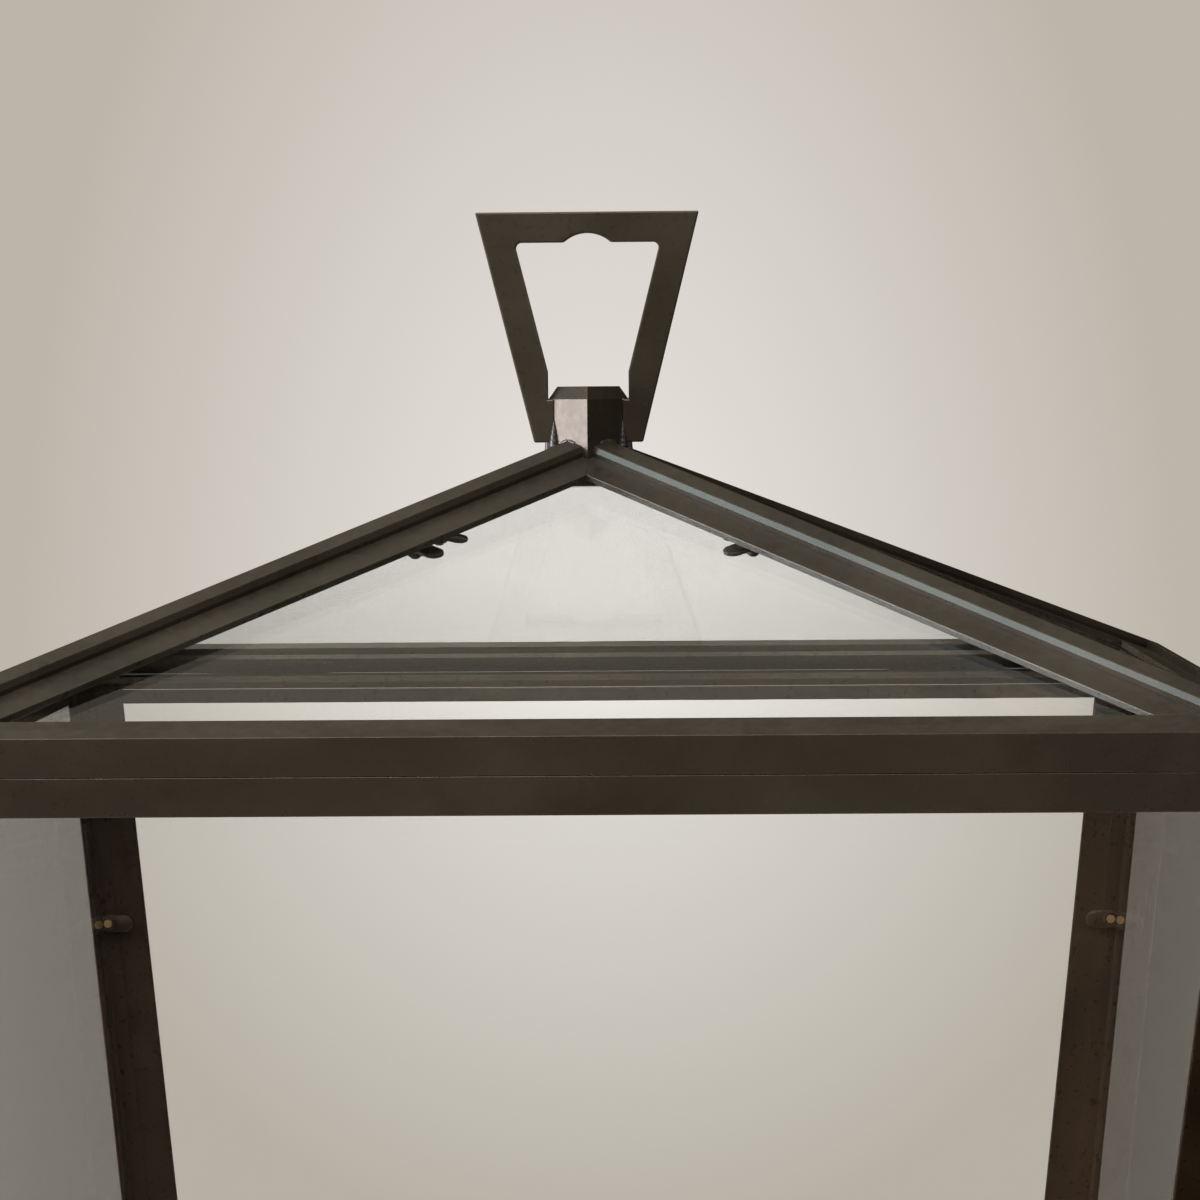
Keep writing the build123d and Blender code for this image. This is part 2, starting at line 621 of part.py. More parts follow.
def make_fitter_flange():
    """Flat ring round the fitter's top, bolted up to the floor plate."""
    ring = bore(FITTER_FLANGE_RADIUS, FITTER_FLANGE_THICKNESS, flange_underside())
    for hole in at_fitter_bolts(bore(FITTER_BOLT_RADIUS + FIT_GAP, FAR)):
        ring -= hole
    return ring - bore(fitter_outer_radius() + FIT_GAP / 4, FAR)


def make_fitter_bolts():
    """Hexagon bolts up through the flange and the floor."""
    head = extrude(RegularPolygon(FITTER_BOLT_FLATS / 2, 6, major_radius=False), amount=FITTER_BOLT_HEAD)
    under = flange_underside() - FITTER_BOLT_HEAD
    shank = bore(FITTER_BOLT_RADIUS, FLOOR_TOP + FITTER_BOLT_TAIL - under, under)
    return Compound(children=[bolt.solid() for bolt in at_fitter_bolts(Pos(0, 0, under) * head + shank)])


def make_clamp_screw(turn):
    """Hexagon-headed clamping screw, its point level with the bore's wall."""
    start = FITTER_BORE_RADIUS + FIT_GAP
    grip = fitter_outer_radius() + SCREW_PAD_HEIGHT + SCREW_GRIP
    head = extrude(RegularPolygon(SCREW_FLATS / 2, 6, major_radius=False), amount=SCREW_HEAD_HEIGHT)
    return screw_axis(turn) * (Pos(0, 0, grip) * head + bore(SCREW_RADIUS, grip - start, start))


# ---- lamp ----
def cup_level():
    """Level of the drip cup's underside, where the stem ends."""
    return FLOOR_TOP + STEM_HEIGHT


def sleeve_top():
    """Level of the candle sleeve's rim."""
    return cup_level() + CUP_THICKNESS + SLEEVE_HEIGHT


def make_lamp_stem():
    """Hollow stem up through the floor, which the wires run in."""
    low = FLOOR_UNDERSIDE - STEM_DROP
    return bore(STEM_RADIUS, cup_level() - low, low) - bore(STEM_BORE, FAR)


def make_stem_locknuts():
    """Locknuts above and below the floor."""
    nut = hexagon_nut(STEM_LOCKNUT_FLATS, STEM_LOCKNUT_HEIGHT, STEM_RADIUS + FIT_GAP / 4)
    levels = (FLOOR_TOP, FLOOR_UNDERSIDE - STEM_LOCKNUT_HEIGHT)
    return Compound(children=[(Pos(0, 0, level) * nut).solid() for level in levels])


def make_drip_cup():
    """Shallow cup on top of the stem."""
    cup = bore(CUP_RADIUS, CUP_RIM) - bore(CUP_RADIUS - CUP_THICKNESS, FAR, CUP_THICKNESS)
    return Pos(0, 0, cup_level()) * (cup - bore(STEM_BORE, FAR))


def make_candle_sleeve():
    """Plain tube that stands in the cup and hides the lampholder."""
    foot = cup_level() + CUP_THICKNESS
    return bore(SLEEVE_RADIUS, SLEEVE_HEIGHT, foot) - bore(SLEEVE_RADIUS - SLEEVE_WALL, FAR)


def make_lampholder():
    """Lampholder on its riser inside the sleeve."""
    foot = cup_level() + CUP_THICKNESS
    under = sleeve_top() - HOLDER_HEIGHT
    holder = bore(STEM_RADIUS, under - foot, foot) + bore(HOLDER_RADIUS, HOLDER_HEIGHT, under)
    return holder - bore(BULB_CAP_RADIUS + FIT_GAP, FAR, sleeve_top() - HOLDER_SOCKET_DEPTH)


def make_bulb_cap():
    """Screw cap of the bulb, down in its lampholder."""
    return bore(BULB_CAP_RADIUS, BULB_CAP_HEIGHT, sleeve_top() - HOLDER_SOCKET_DEPTH)


def bulb_outline(shrink):
    """Right half of a tubular bulb with a sloped neck and crown, standing on the origin."""
    side = BULB_RADIUS - shrink
    return [
        (0, shrink),
        (BULB_CAP_RADIUS - shrink, shrink),
        (side, BULB_NECK),
        (side, BULB_HEIGHT - BULB_NECK),
        (BULB_CROWN_RADIUS, BULB_HEIGHT - shrink),
        (0, BULB_HEIGHT - shrink),
    ]


def make_bulb():
    """Hollow glass of a tubular bulb."""
    outside, inside = [
        revolve(Plane.XZ * make_face(Polyline(*bulb_outline(shrink), close=True)))
        for shrink in (0, BULB_WALL)
    ]
    return Pos(0, 0, sleeve_top() - HOLDER_SOCKET_DEPTH + BULB_CAP_HEIGHT) * (outside - inside)


def build_parts():
    """Every piece of the lantern by its name."""
    parts = {
        "finial_loop": make_finial_loop(),
        "apex_boss": make_apex_boss(),
        "apex_nut": make_apex_nut(),
        "roof_clip_studs": make_roof_studs(),
        "body_clip_studs": make_body_studs(),
        "floor_plate": make_floor_plate(),
        "post_fitter": make_post_fitter(),
        "fitter_flange": make_fitter_flange(),
        "fitter_bolts": make_fitter_bolts(),
        "lamp_stem": make_lamp_stem(),
        "stem_locknuts": make_stem_locknuts(),
        "drip_cup": make_drip_cup(),
        "candle_sleeve": make_candle_sleeve(),
        "lampholder": make_lampholder(),
        "bulb_cap": make_bulb_cap(),
        "bulb": make_bulb(),
        "top_rails": four(make_top_rail()),
        "base_rails": four(make_base_rail()),
    }
    outer, middle = knuckle_spans()
    parts["hinge_body_leaves"] = pair_of_hinges(make_hinge_leaf(outer, middle, upward=False))
    parts["hinge_roof_leaves"] = pair_of_hinges(make_hinge_leaf(middle, outer, upward=True))
    parts["hinge_pins"] = pair_of_hinges(make_hinge_pin())
    rafter, post = make_hip_rafter(), make_corner_post()
    for quarter, corner in enumerate(CORNERS):
        parts[f"hip_rafter_{corner}"] = around(rafter, quarter)
        parts[f"corner_post_{corner}"] = around(post, quarter)
    eave, roof_pane, body_pane = make_eave_rail(), make_roof_pane(), make_body_pane()
    for quarter, side in enumerate(SIDES):
        parts[f"eave_rail_{side}"] = around(eave, quarter)
        parts[f"roof_pane_{side}"] = around(roof_pane, quarter)
        parts[f"body_pane_{side}"] = around(body_pane, quarter)
    for name, place in roof_clip_frames():
        parts[name] = place * clip(ROOF_CLIP_REACH)
    for name, place in body_clip_frames():
        parts[name] = place * clip(BODY_CLIP_REACH)
    for turn in range(3):
        parts[f"clamp_screw_{turn + 1}"] = make_clamp_screw(turn)
    return parts


os.makedirs("parts", exist_ok=True)
for node, shape in build_parts().items():
    export_step(shape, f"parts/{node}.step")
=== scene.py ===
import json
import logging
import math
from dataclasses import dataclass, field
from enum import Enum
from typing import Callable, Iterable, Sequence

import bmesh
import bpy
from mathutils import Matrix, Vector

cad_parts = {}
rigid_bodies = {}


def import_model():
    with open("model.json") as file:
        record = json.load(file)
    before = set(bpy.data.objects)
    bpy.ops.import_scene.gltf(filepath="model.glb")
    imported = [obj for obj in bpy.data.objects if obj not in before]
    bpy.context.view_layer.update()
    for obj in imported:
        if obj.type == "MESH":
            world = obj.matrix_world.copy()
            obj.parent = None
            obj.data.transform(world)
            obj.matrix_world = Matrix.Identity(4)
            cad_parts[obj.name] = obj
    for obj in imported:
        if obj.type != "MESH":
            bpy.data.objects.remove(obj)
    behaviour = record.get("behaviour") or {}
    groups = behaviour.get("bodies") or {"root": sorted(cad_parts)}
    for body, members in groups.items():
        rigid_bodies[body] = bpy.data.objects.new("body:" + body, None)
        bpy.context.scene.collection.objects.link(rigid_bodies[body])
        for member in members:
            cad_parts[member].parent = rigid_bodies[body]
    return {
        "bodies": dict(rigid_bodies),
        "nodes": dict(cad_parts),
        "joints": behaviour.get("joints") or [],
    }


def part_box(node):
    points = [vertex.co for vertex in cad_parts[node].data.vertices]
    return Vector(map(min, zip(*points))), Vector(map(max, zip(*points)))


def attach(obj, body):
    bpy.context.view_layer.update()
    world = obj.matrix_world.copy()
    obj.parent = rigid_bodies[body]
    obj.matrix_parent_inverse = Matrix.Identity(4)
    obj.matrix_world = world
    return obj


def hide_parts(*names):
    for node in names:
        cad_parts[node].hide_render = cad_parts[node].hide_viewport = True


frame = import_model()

LOG = logging.getLogger("post_top_lantern")
MM = 0.001
TURN = 2 * math.pi
Colour = tuple[float, float, float]
Place = tuple[float, float, float]
Profile = Sequence[tuple[float, float]]


class Body(Enum):
    """The bodies of the frame that carry more than one piece."""

    LANTERN = "lantern_body"
    ROOF = "roof"


class Slot(Enum):
    """The record's material slots."""

    BRONZE = "bronze_paint"
    GLASS = "clear_glass"
    BRASS = "brass_fittings"
    STEEL = "steel_fittings"
    SLEEVE = "ivory_sleeve"
    PLASTIC = "black_plastic"
    CAP = "bulb_cap"
    BULB = "bulb_glass"


# ---- shader nodes ----
class Nodes:
    """Adds nodes to one tree and joins them as they are added."""

    def __init__(self, tree: bpy.types.NodeTree) -> None:
        """Keep the tree that the nodes go into."""
        self.tree = tree

    def add(self, kind: str, inputs: dict | None = None, **settings: object) -> bpy.types.Node:
        """Add a node.

        Args:
            kind: Blender's name of the node's type.
            inputs: Value or output socket for each input, by name or number.
            **settings: Properties of the node.

        Returns:
            The new node.
        """
        node = self.tree.nodes.new(kind)
        for name, value in settings.items():
            setattr(node, name, value)
        for key, value in (inputs or {}).items():
            if isinstance(value, bpy.types.NodeSocket):
                self.tree.links.new(value, node.inputs[key])
            else:
                node.inputs[key].default_value = value
        return node

    def math(self, operation: str, a: object, b: object = 0.0, clamp: bool = False) -> bpy.types.NodeSocket:
        """Join two values by arithmetic.

        Args:
            operation: Name of the operation.
            a: First value or socket.
            b: Second value or socket.
            clamp: True to keep the result between 0 and 1.

        Returns:
            The result's socket.
        """
        return self.add("ShaderNodeMath", {0: a, 1: b}, operation=operation, use_clamp=clamp).outputs[0]

    def ramp(self, value: object, low: float, high: float, out_low: float = 0.0,
             out_high: float = 1.0) -> bpy.types.NodeSocket:
        """Spread a value's range over another range.

        Args:
            value: Socket to spread.
            low: Lower end of what comes in.
            high: Upper end of what comes in.
            out_low: What the lower end becomes.
            out_high: What the upper end becomes.

        Returns:
            The result's socket.
        """
        inputs = {"Value": value, "From Min": low, "From Max": high, "To Min": out_low, "To Max": out_high}
        return self.add("ShaderNodeMapRange", inputs).outputs["Result"]

    def mix(self, factor: object, a: object, b: object) -> bpy.types.NodeSocket:
        """Blend two colours.

        Args:
            factor: Share of the second colour.
            a: First colour or socket.
            b: Second colour or socket.

        Returns:
            The blended colour's socket.
        """
        inputs = {0: factor, 6: solid(a), 7: solid(b)}
        return self.add("ShaderNodeMix", inputs, data_type="RGBA").outputs[2]


def solid(colour: object) -> object:
    """Give a plain colour its fourth number, and leave a socket as it is."""
    return (*colour, 1.0) if isinstance(colour, tuple) and len(colour) == 3 else colour


class Effect:
    """A shader node group that several finishes share, built once when it is first asked for."""

    def __init__(self, name: str, values: dict[str, float], outputs: Sequence[str],
                 wire: Callable[["Nodes", dict], dict]) -> None:
        """Describe the group.

        Args:
            name: Name of the group.
            values: Names and usual values of its inputs.
            outputs: Names of its outputs, all of them values.
            wire: Function that adds the inner nodes and returns a socket for each output.
        """
        self.name = name
        self.values = values
        self.outputs = outputs
        self.wire = wire

    def tree(self) -> bpy.types.NodeTree:
        """Find the group, or build it.

        Returns:
            The group's node tree.
        """
        if self.name in bpy.data.node_groups:
            return bpy.data.node_groups[self.name]
        tree = bpy.data.node_groups.new(self.name, "ShaderNodeTree")
        for name, value in self.values.items():
            socket = tree.interface.new_socket(name, in_out="INPUT", socket_type="NodeSocketFloat")
            socket.default_value = value
        for name in self.outputs:
            tree.interface.new_socket(name, in_out="OUTPUT", socket_type="NodeSocketFloat")
        nodes = Nodes(tree)
        entry = nodes.add("NodeGroupInput")
        results = self.wire(nodes, {name: entry.outputs[name] for name in self.values})
        nodes.add("NodeGroupOutput", results)
        return tree

    def place(self, nodes: Nodes, **values: float) -> dict[str, bpy.types.NodeSocket]:
        """Put the group in a material.

        Args:
            nodes: Tree that the group is added to.
            **values: Values of its inputs, with spaces in their names written as underscores.

        Returns:
            The group's output sockets by name.
        """
        node = nodes.add("ShaderNodeGroup", node_tree=self.tree())
        for name, value in values.items():
            node.inputs[name.replace("_", " ")].default_value = value
        return {name: node.outputs[name] for name in self.outputs}


def wire_edge_wear(nodes: Nodes, given: dict) -> dict:
    """Find the outer edges of a piece and break the line up.

    Args:
        nodes: Tree of the group.
        given: Sockets of the group's inputs.

    Returns:
        The mask of worn edges.
    """
    rounded = nodes.add("ShaderNodeBevel", {"Radius": given["Radius"]}, samples=4)
    flat = nodes.add("ShaderNodeNewGeometry")
    normals = {0: rounded.outputs[0], 1: flat.outputs["Normal"]}
    dot = nodes.add("ShaderNodeVectorMath", normals, operation="DOT_PRODUCT")
    edge = nodes.ramp(dot.outputs["Value"], 0.998, 0.93)
    place = nodes.add("ShaderNodeTexCoord").outputs["Object"]
    noise = nodes.add("ShaderNodeTexNoise", {"Vector": place, "Scale": given["Scale"], "Detail": 5.0})
    broken = nodes.ramp(noise.outputs[0], 0.38, 0.66)
    return {"Mask": nodes.math("MULTIPLY", nodes.math("MULTIPLY", edge, broken), given["Amount"], clamp=True)}


def wire_patina(nodes: Nodes, given: dict) -> dict:
    """Make the slow and fine changes of tone that an old coat of paint has.

    Args:
        nodes: Tree of the group.
        given: Sockets of the group's inputs.

    Returns:
        A broad mask, a fine mask and a height.
    """
    place = nodes.add("ShaderNodeTexCoord").outputs["Object"]
    broad = nodes.add("ShaderNodeTexNoise", {"Vector": place, "Scale": given["Broad Scale"], "Detail": 3.0,
                                             "Distortion": 0.6})
    fine = nodes.add("ShaderNodeTexNoise", {"Vector": place, "Scale": given["Fine Scale"], "Detail": 2.0})
    return {
        "Broad": nodes.ramp(broad.outputs[0], 0.32, 0.68),
        "Fine": nodes.ramp(fine.outputs[0], 0.2, 0.8),
        "Height": fine.outputs[0],
    }


def wire_dust(nodes: Nodes, given: dict) -> dict:
    """Gather dust on what faces up.

    Args:
        nodes: Tree of the group.
        given: Sockets of the group's inputs.

    Returns:
        The mask of dust.
    """
    normal = nodes.add("ShaderNodeNewGeometry").outputs["Normal"]
    up = nodes.add("ShaderNodeSeparateXYZ", {0: normal}).outputs["Z"]
    place = nodes.add("ShaderNodeTexCoord").outputs["Object"]
    noise = nodes.add("ShaderNodeTexNoise", {"Vector": place, "Scale": given["Scale"], "Detail": 6.0,
                                             "Roughness": 0.7})
    specks = nodes.ramp(noise.outputs[0], 0.42, 0.75)
    lying = nodes.ramp(up, 0.35, 1.0)
    dusty = nodes.math("MULTIPLY", specks, lying)
    return {"Mask": nodes.math("MULTIPLY", dusty, given["Amount"], clamp=True)}


def wire_scuff(nodes: Nodes, given: dict) -> dict:
    """Draw fine turned or rubbed lines round the upright axis.

    Args:
        nodes: Tree of the group.
        given: Sockets of the group's inputs.

    Returns:
        The height of the lines.
    """
    place = nodes.add("ShaderNodeTexCoord").outputs["Object"]
    axes = nodes.add("ShaderNodeSeparateXYZ", {0: place})
    level = nodes.math("MULTIPLY", axes.outputs["Z"], given["Scale"])
    side = nodes.math("MULTIPLY", axes.outputs["X"], 12.0)
    line = nodes.add("ShaderNodeCombineXYZ", {0: side, 2: level})
    noise = nodes.add("ShaderNodeTexNoise", {"Vector": line.outputs[0], "Scale": 1.0, "Detail": 4.0})
    return {"Height": noise.outputs[0]}


EDGE_WEAR = Effect("edge_wear", {"Radius": 0.0008, "Scale": 160.0, "Amount": 0.8}, ["Mask"], wire_edge_wear)
PATINA = Effect("paint_patina", {"Broad Scale": 22.0, "Fine Scale": 420.0}, ["Broad", "Fine", "Height"],
                wire_patina)
DUST = Effect("lying_dust", {"Scale": 260.0, "Amount": 0.3}, ["Mask"], wire_dust)
SCUFF = Effect("turned_lines", {"Scale": 2600.0}, ["Height"], wire_scuff)


# ---- finishes ----
class Finish:
    """What every finish shares: it makes its material once and hands it out after that."""

    name: str = "finish"

    def material(self) -> bpy.types.Material:
        """Find the finish's material, or make it.

        Returns:
            The material.
        """
        if self.name in bpy.data.materials:
            return bpy.data.materials[self.name]
        material = bpy.data.materials.new(self.name)
        material.use_nodes = True
        material.node_tree.nodes.clear()
        nodes = Nodes(material.node_tree)
        shader = nodes.add("ShaderNodeBsdfPrincipled")
        nodes.add("ShaderNodeOutputMaterial", {"Surface": shader.outputs[0]})
        self.wire(nodes, shader)
        return material

    def wire(self, nodes: Nodes, shader: bpy.types.Node) -> None:
        """Fill the shader's sockets; each finish has its own way."""
        raise NotImplementedError

    @staticmethod
    def join(nodes: Nodes, shader: bpy.types.Node, inputs: dict) -> None:
        """Set or join several inputs of the shader.

        Args:
            nodes: The material's tree.
            shader: The material's shader.
            inputs: Value or socket for each input.
        """
        for key, value in inputs.items():
            if isinstance(value, bpy.types.NodeSocket):
                nodes.tree.links.new(value, shader.inputs[key])
            else:
                shader.inputs[key].default_value = solid(value)

    @staticmethod
    def bump(nodes: Nodes, height: bpy.types.NodeSocket, strength: float,
             distance: float) -> bpy.types.NodeSocket:
        """Turn a height into a normal.

        Args:
            nodes: The material's tree.
            height: Socket of the height.
            strength: How much the bump shows.
            distance: Real height of the bump, in metres.

        Returns:
            The normal's socket.
        """
        inputs = {"Height": height, "Strength": strength, "Distance": distance}
        return nodes.add("ShaderNodeBump", inputs).outputs[0]


@dataclass(frozen=True)
class DarkBronze(Finish):
    """Dark bronze coat on the frame: a satin metal skin, a little rubbed on its edges."""

    name: str = "dark_bronze_coat"
    deep: Colour = (0.036, 0.030, 0.021)
    light: Colour = (0.066, 0.057, 0.042)
    rubbed: Colour = (0.17, 0.145, 0.115)
    dust: Colour = (0.20, 0.18, 0.15)
    rough: float = 0.24
    wear: float = 0.35

    def wire(self, nodes: Nodes, shader: bpy.types.Node) -> None:
        """Join patina, edge wear and dust into the shader."""
        patina = PATINA.place(nodes, Broad_Scale=24.0, Fine_Scale=520.0)
        edge = EDGE_WEAR.place(nodes, Radius=0.0007, Scale=190.0, Amount=self.wear)["Mask"]
        dust = DUST.place(nodes, Scale=300.0, Amount=0.16)["Mask"]
        tone = nodes.math("ADD", nodes.math("MULTIPLY", patina["Broad"], 0.85),
                          nodes.math("MULTIPLY", patina["Fine"], 0.15))
        coat = nodes.mix(tone, self.deep, self.light)
        colour = nodes.mix(dust, nodes.mix(edge, coat, self.rubbed), self.dust)
        rough = nodes.math("ADD", nodes.ramp(patina["Fine"], 0, 1, self.rough, self.rough + 0.13),
                           nodes.math("MULTIPLY", dust, 0.9))
        self.join(nodes, shader, {
            "Base Color": colour,
            "Metallic": nodes.ramp(edge, 0, 1, 0.2, 0.85),
            "Roughness": rough,
            "IOR": 1.42,
            "Normal": self.bump(nodes, patina["Height"], 0.1, 0.00004),
        })


@dataclass(frozen=True)
class ShadedBodyBronze(DarkBronze):
    """The same coat on the body's bars and clips, made darker all over: painted shade for the shade that
    falls under the roof and inside the body.
    """

    name: str = "dark_bronze_body_painted_shade"
    # Darker colours than the roof's coat: painted shade, not a different finish.
    deep: Colour = (0.016, 0.009, 0.004)
    light: Colour = (0.034, 0.020, 0.010)


@dataclass(frozen=True)
class WeldMetal(Finish):
    """Beads of weld under the bronze coat, rougher and a little greyer than the bars."""

    name: str = "coated_weld"
    deep: Colour = (0.030, 0.028, 0.029)
    light: Colour = (0.085, 0.083, 0.086)

    def wire(self, nodes: Nodes, shader: bpy.types.Node) -> None:
        """Join a coarse patina into the shader."""
        patina = PATINA.place(nodes, Broad_Scale=260.0, Fine_Scale=900.0)
        self.join(nodes, shader, {
            "Base Color": nodes.mix(patina["Broad"], self.deep, self.light),
            "Metallic": 0.15,
            "Roughness": nodes.ramp(patina["Fine"], 0, 1, 0.28, 0.45),
            "Normal": self.bump(nodes, patina["Height"], 0.6, 0.00015),
        })


@dataclass(frozen=True)
class ClearPane(Finish):
    """Clear flat glass with a few smears that only its gloss shows, darker where it is seen edge-on."""

    name: str = "clear_flat_glass"
    tint: Colour = (0.985, 0.99, 0.985)
    edge_on: Colour = (0.79, 0.795, 0.80)
    index: float = 1.5
    shade: float = 0.9

    def wire(self, nodes: Nodes, shader: bpy.types.Node) -> None:
        """Join the smears in, and let lamps shine through the pane."""
        patina = PATINA.place(nodes, Broad_Scale=14.0, Fine_Scale=160.0)
        smear = nodes.math("MULTIPLY", nodes.math("POWER", patina["Broad"], 4.0), patina["Fine"])
        shadow = nodes.add("ShaderNodeLightPath").outputs["Is Shadow Ray"]
        facing = nodes.add("ShaderNodeLayerWeight", {"Blend": 0.5}).outputs["Facing"]
        self.join(nodes, shader, {
            "Base Color": nodes.mix(nodes.ramp(facing, 0.78, 0.92), self.tint, self.edge_on),
            "Metallic": 0.0,
            "Roughness": nodes.ramp(smear, 0, 1, 0.0, 0.015),
            "IOR": self.index,
            "Transmission Weight": 1.0,
            "Alpha": nodes.ramp(shadow, 0, 1, 1.0, 1.0 - self.shade),
            "Normal": self.bump(nodes, patina["Broad"], 0.02, 0.0001),
        })


@dataclass(frozen=True)
class AgedBrass(Finish):
    """Brass that has dulled to brown in patches."""

    name: str = "aged_brass"
    bright: Colour = (0.62, 0.45, 0.21)
    dull: Colour = (0.22, 0.14, 0.07)
    rough: float = 0.26

    def wire(self, nodes: Nodes, shader: bpy.types.Node) -> None:
        """Join patina, rubbed edges and turned lines into the shader."""
        patina = PATINA.place(nodes, Broad_Scale=70.0, Fine_Scale=700.0)
        edge = EDGE_WEAR.place(nodes, Radius=0.0005, Scale=400.0, Amount=0.9)["Mask"]
        lines = SCUFF.place(nodes, Scale=3200.0)["Height"]
        tone = nodes.math("MULTIPLY", patina["Broad"], nodes.ramp(patina["Fine"], 0, 1, 0.55, 1.0))
        self.join(nodes, shader, {
            "Base Color": nodes.mix(edge, nodes.mix(tone, self.bright, self.dull), self.bright),
            "Metallic": 1.0,
            "Roughness": nodes.ramp(tone, 0, 1, self.rough, self.rough + 0.22),
            "Normal": self.bump(nodes, lines, 0.3, 0.00004),
        })


@dataclass(frozen=True)
class PlatedSteel(Finish):
    """Zinc-plated steel of bolts and nuts, with a faint spangle."""

    name: str = "plated_steel"
    pale: Colour = (0.58, 0.58, 0.57)
    grey: Colour = (0.30, 0.30, 0.31)
    rubbed: Colour = (0.75, 0.75, 0.74)

    def wire(self, nodes: Nodes, shader: bpy.types.Node) -> None:
        """Join spangle and edge wear into the shader."""
        patina = PATINA.place(nodes, Broad_Scale=240.0, Fine_Scale=1300.0)
        edge = EDGE_WEAR.place(nodes, Radius=0.0004, Scale=500.0, Amount=0.7)["Mask"]
        plating = nodes.mix(patina["Broad"], self.pale, self.grey)
        self.join(nodes, shader, {
            "Base Color": nodes.mix(edge, plating, self.rubbed),
            "Metallic": 1.0,
            "Roughness": nodes.ramp(patina["Fine"], 0, 1, 0.24, 0.44),
            "Normal": self.bump(nodes, patina["Height"], 0.25, 0.00004),
        })


@dataclass(frozen=True)
class IvoryCard(Finish):
    """Ivory candle tube with the faint runs of wax that such tubes are made with."""

    name: str = "ivory_candle_tube"
    ivory: Colour = (0.78, 0.71, 0.55)
    shadow: Colour = (0.66, 0.56, 0.38)

    def wire(self, nodes: Nodes, shader: bpy.types.Node) -> None:
        """Join long upright runs into the shader."""
        place = nodes.add("ShaderNodeTexCoord").outputs["Object"]
        long = nodes.add("ShaderNodeMapping", {"Vector": place, "Scale": (170.0, 170.0, 14.0)})
        runs = nodes.add("ShaderNodeTexNoise", {"Vector": long.outputs[0], "Scale": 1.0, "Detail": 3.0})
        patina = PATINA.place(nodes, Broad_Scale=30.0, Fine_Scale=600.0)
        self.join(nodes, shader, {
            "Base Color": nodes.mix(patina["Broad"], self.ivory, self.shadow),
            "Metallic": 0.0,
            "Roughness": nodes.ramp(patina["Fine"], 0, 1, 0.38, 0.55),
            "Subsurface Weight": 0.15,
            "Normal": self.bump(nodes, nodes.ramp(runs.outputs[0], 0.4, 0.65), 0.5, 0.0004),
        })


@dataclass(frozen=True)
class BlackPlastic(Finish):
    """Black moulded lampholder with a fine grain."""

    name: str = "black_moulded_plastic"
    black: Colour = (0.012, 0.012, 0.013)
    faded: Colour = (0.022, 0.022, 0.024)
    worn: Colour = (0.06, 0.06, 0.06)

    def wire(self, nodes: Nodes, shader: bpy.types.Node) -> None:
        """Join grain and dust into the shader."""
        patina = PATINA.place(nodes, Broad_Scale=60.0, Fine_Scale=2600.0)
        dust = DUST.place(nodes, Scale=700.0, Amount=0.4)["Mask"]
        moulded = nodes.mix(patina["Broad"], self.black, self.faded)
        self.join(nodes, shader, {
            "Base Color": nodes.mix(dust, moulded, self.worn),
            "Metallic": 0.0,
            "Roughness": nodes.ramp(patina["Fine"], 0, 1, 0.34, 0.5),
            "Normal": self.bump(nodes, patina["Fine"], 0.4, 0.00006),
        })


@dataclass(frozen=True)
class NickelCap(Finish):
    """Nickel-plated screw cap, its thread drawn as a rising ridge."""

    name: str = "nickel_screw_cap"
    nickel: Colour = (0.66, 0.64, 0.60)
    dull: Colour = (0.46, 0.43, 0.38)
    pitch: float = 3.6 * MM

    def wire(self, nodes: Nodes, shader: bpy.types.Node) -> None:
        """Join the thread's ridges into the shader."""
        place = nodes.add("ShaderNodeTexCoord").outputs["Object"]
        axes = nodes.add("ShaderNodeSeparateXYZ", {0: place})
        angle = nodes.math("ARCTAN2", axes.outputs["Y"], axes.outputs["X"])
        phase = nodes.math("ADD", nodes.math("MULTIPLY", axes.outputs["Z"], TURN / self.pitch), angle)
        patina = PATINA.place(nodes, Broad_Scale=180.0, Fine_Scale=900.0)
        self.join(nodes, shader, {
            "Base Color": nodes.mix(patina["Broad"], self.nickel, self.dull),
            "Metallic": 1.0,
            "Roughness": nodes.ramp(patina["Fine"], 0, 1, 0.2, 0.36),
            "Normal": self.bump(nodes, nodes.math("SINE", phase), 0.8, 0.0005),
        })


@dataclass(frozen=True)
class BulbGlass(Finish):
    """Thin clear glass of the bulb."""

    name: str = "thin_bulb_glass"
    tint: Colour = (0.985, 0.98, 0.965)

    def wire(self, nodes: Nodes, shader: bpy.types.Node) -> None:
        """Join a trace of haze in, and let lamps shine through."""
        patina = PATINA.place(nodes, Broad_Scale=60.0, Fine_Scale=500.0)
        shadow = nodes.add("ShaderNodeLightPath").outputs["Is Shadow Ray"]
        self.join(nodes, shader, {
            "Base Color": self.tint,
            "Metallic": 0.0,
            "Roughness": nodes.ramp(patina["Broad"], 0, 1, 0.0, 0.02),
            "IOR": 1.47,
            "Transmission Weight": 1.0,
            "Alpha": nodes.ramp(shadow, 0, 1, 1.0, 0.1),
        })


@dataclass(frozen=True)
class FilamentCoat(Finish):
    """Amber coat of an unlit filament, with the grain of its powder."""

    name: str = "amber_filament_coat"
    amber: Colour = (0.86, 0.47, 0.06)
    deep: Colour = (0.72, 0.33, 0.03)

    def wire(self, nodes: Nodes, shader: bpy.types.Node) -> None:
        """Join the powder's grain into the shader."""
        patina = PATINA.place(nodes, Broad_Scale=400.0, Fine_Scale=3000.0)
        self.join(nodes, shader, {
            "Base Color": nodes.mix(patina["Broad"], self.amber, self.deep),
            "Metallic": 0.0,
            "Roughness": nodes.ramp(patina["Fine"], 0, 1, 0.4, 0.6),
            "Normal": self.bump(nodes, patina["Fine"], 0.4, 0.00005),
        })


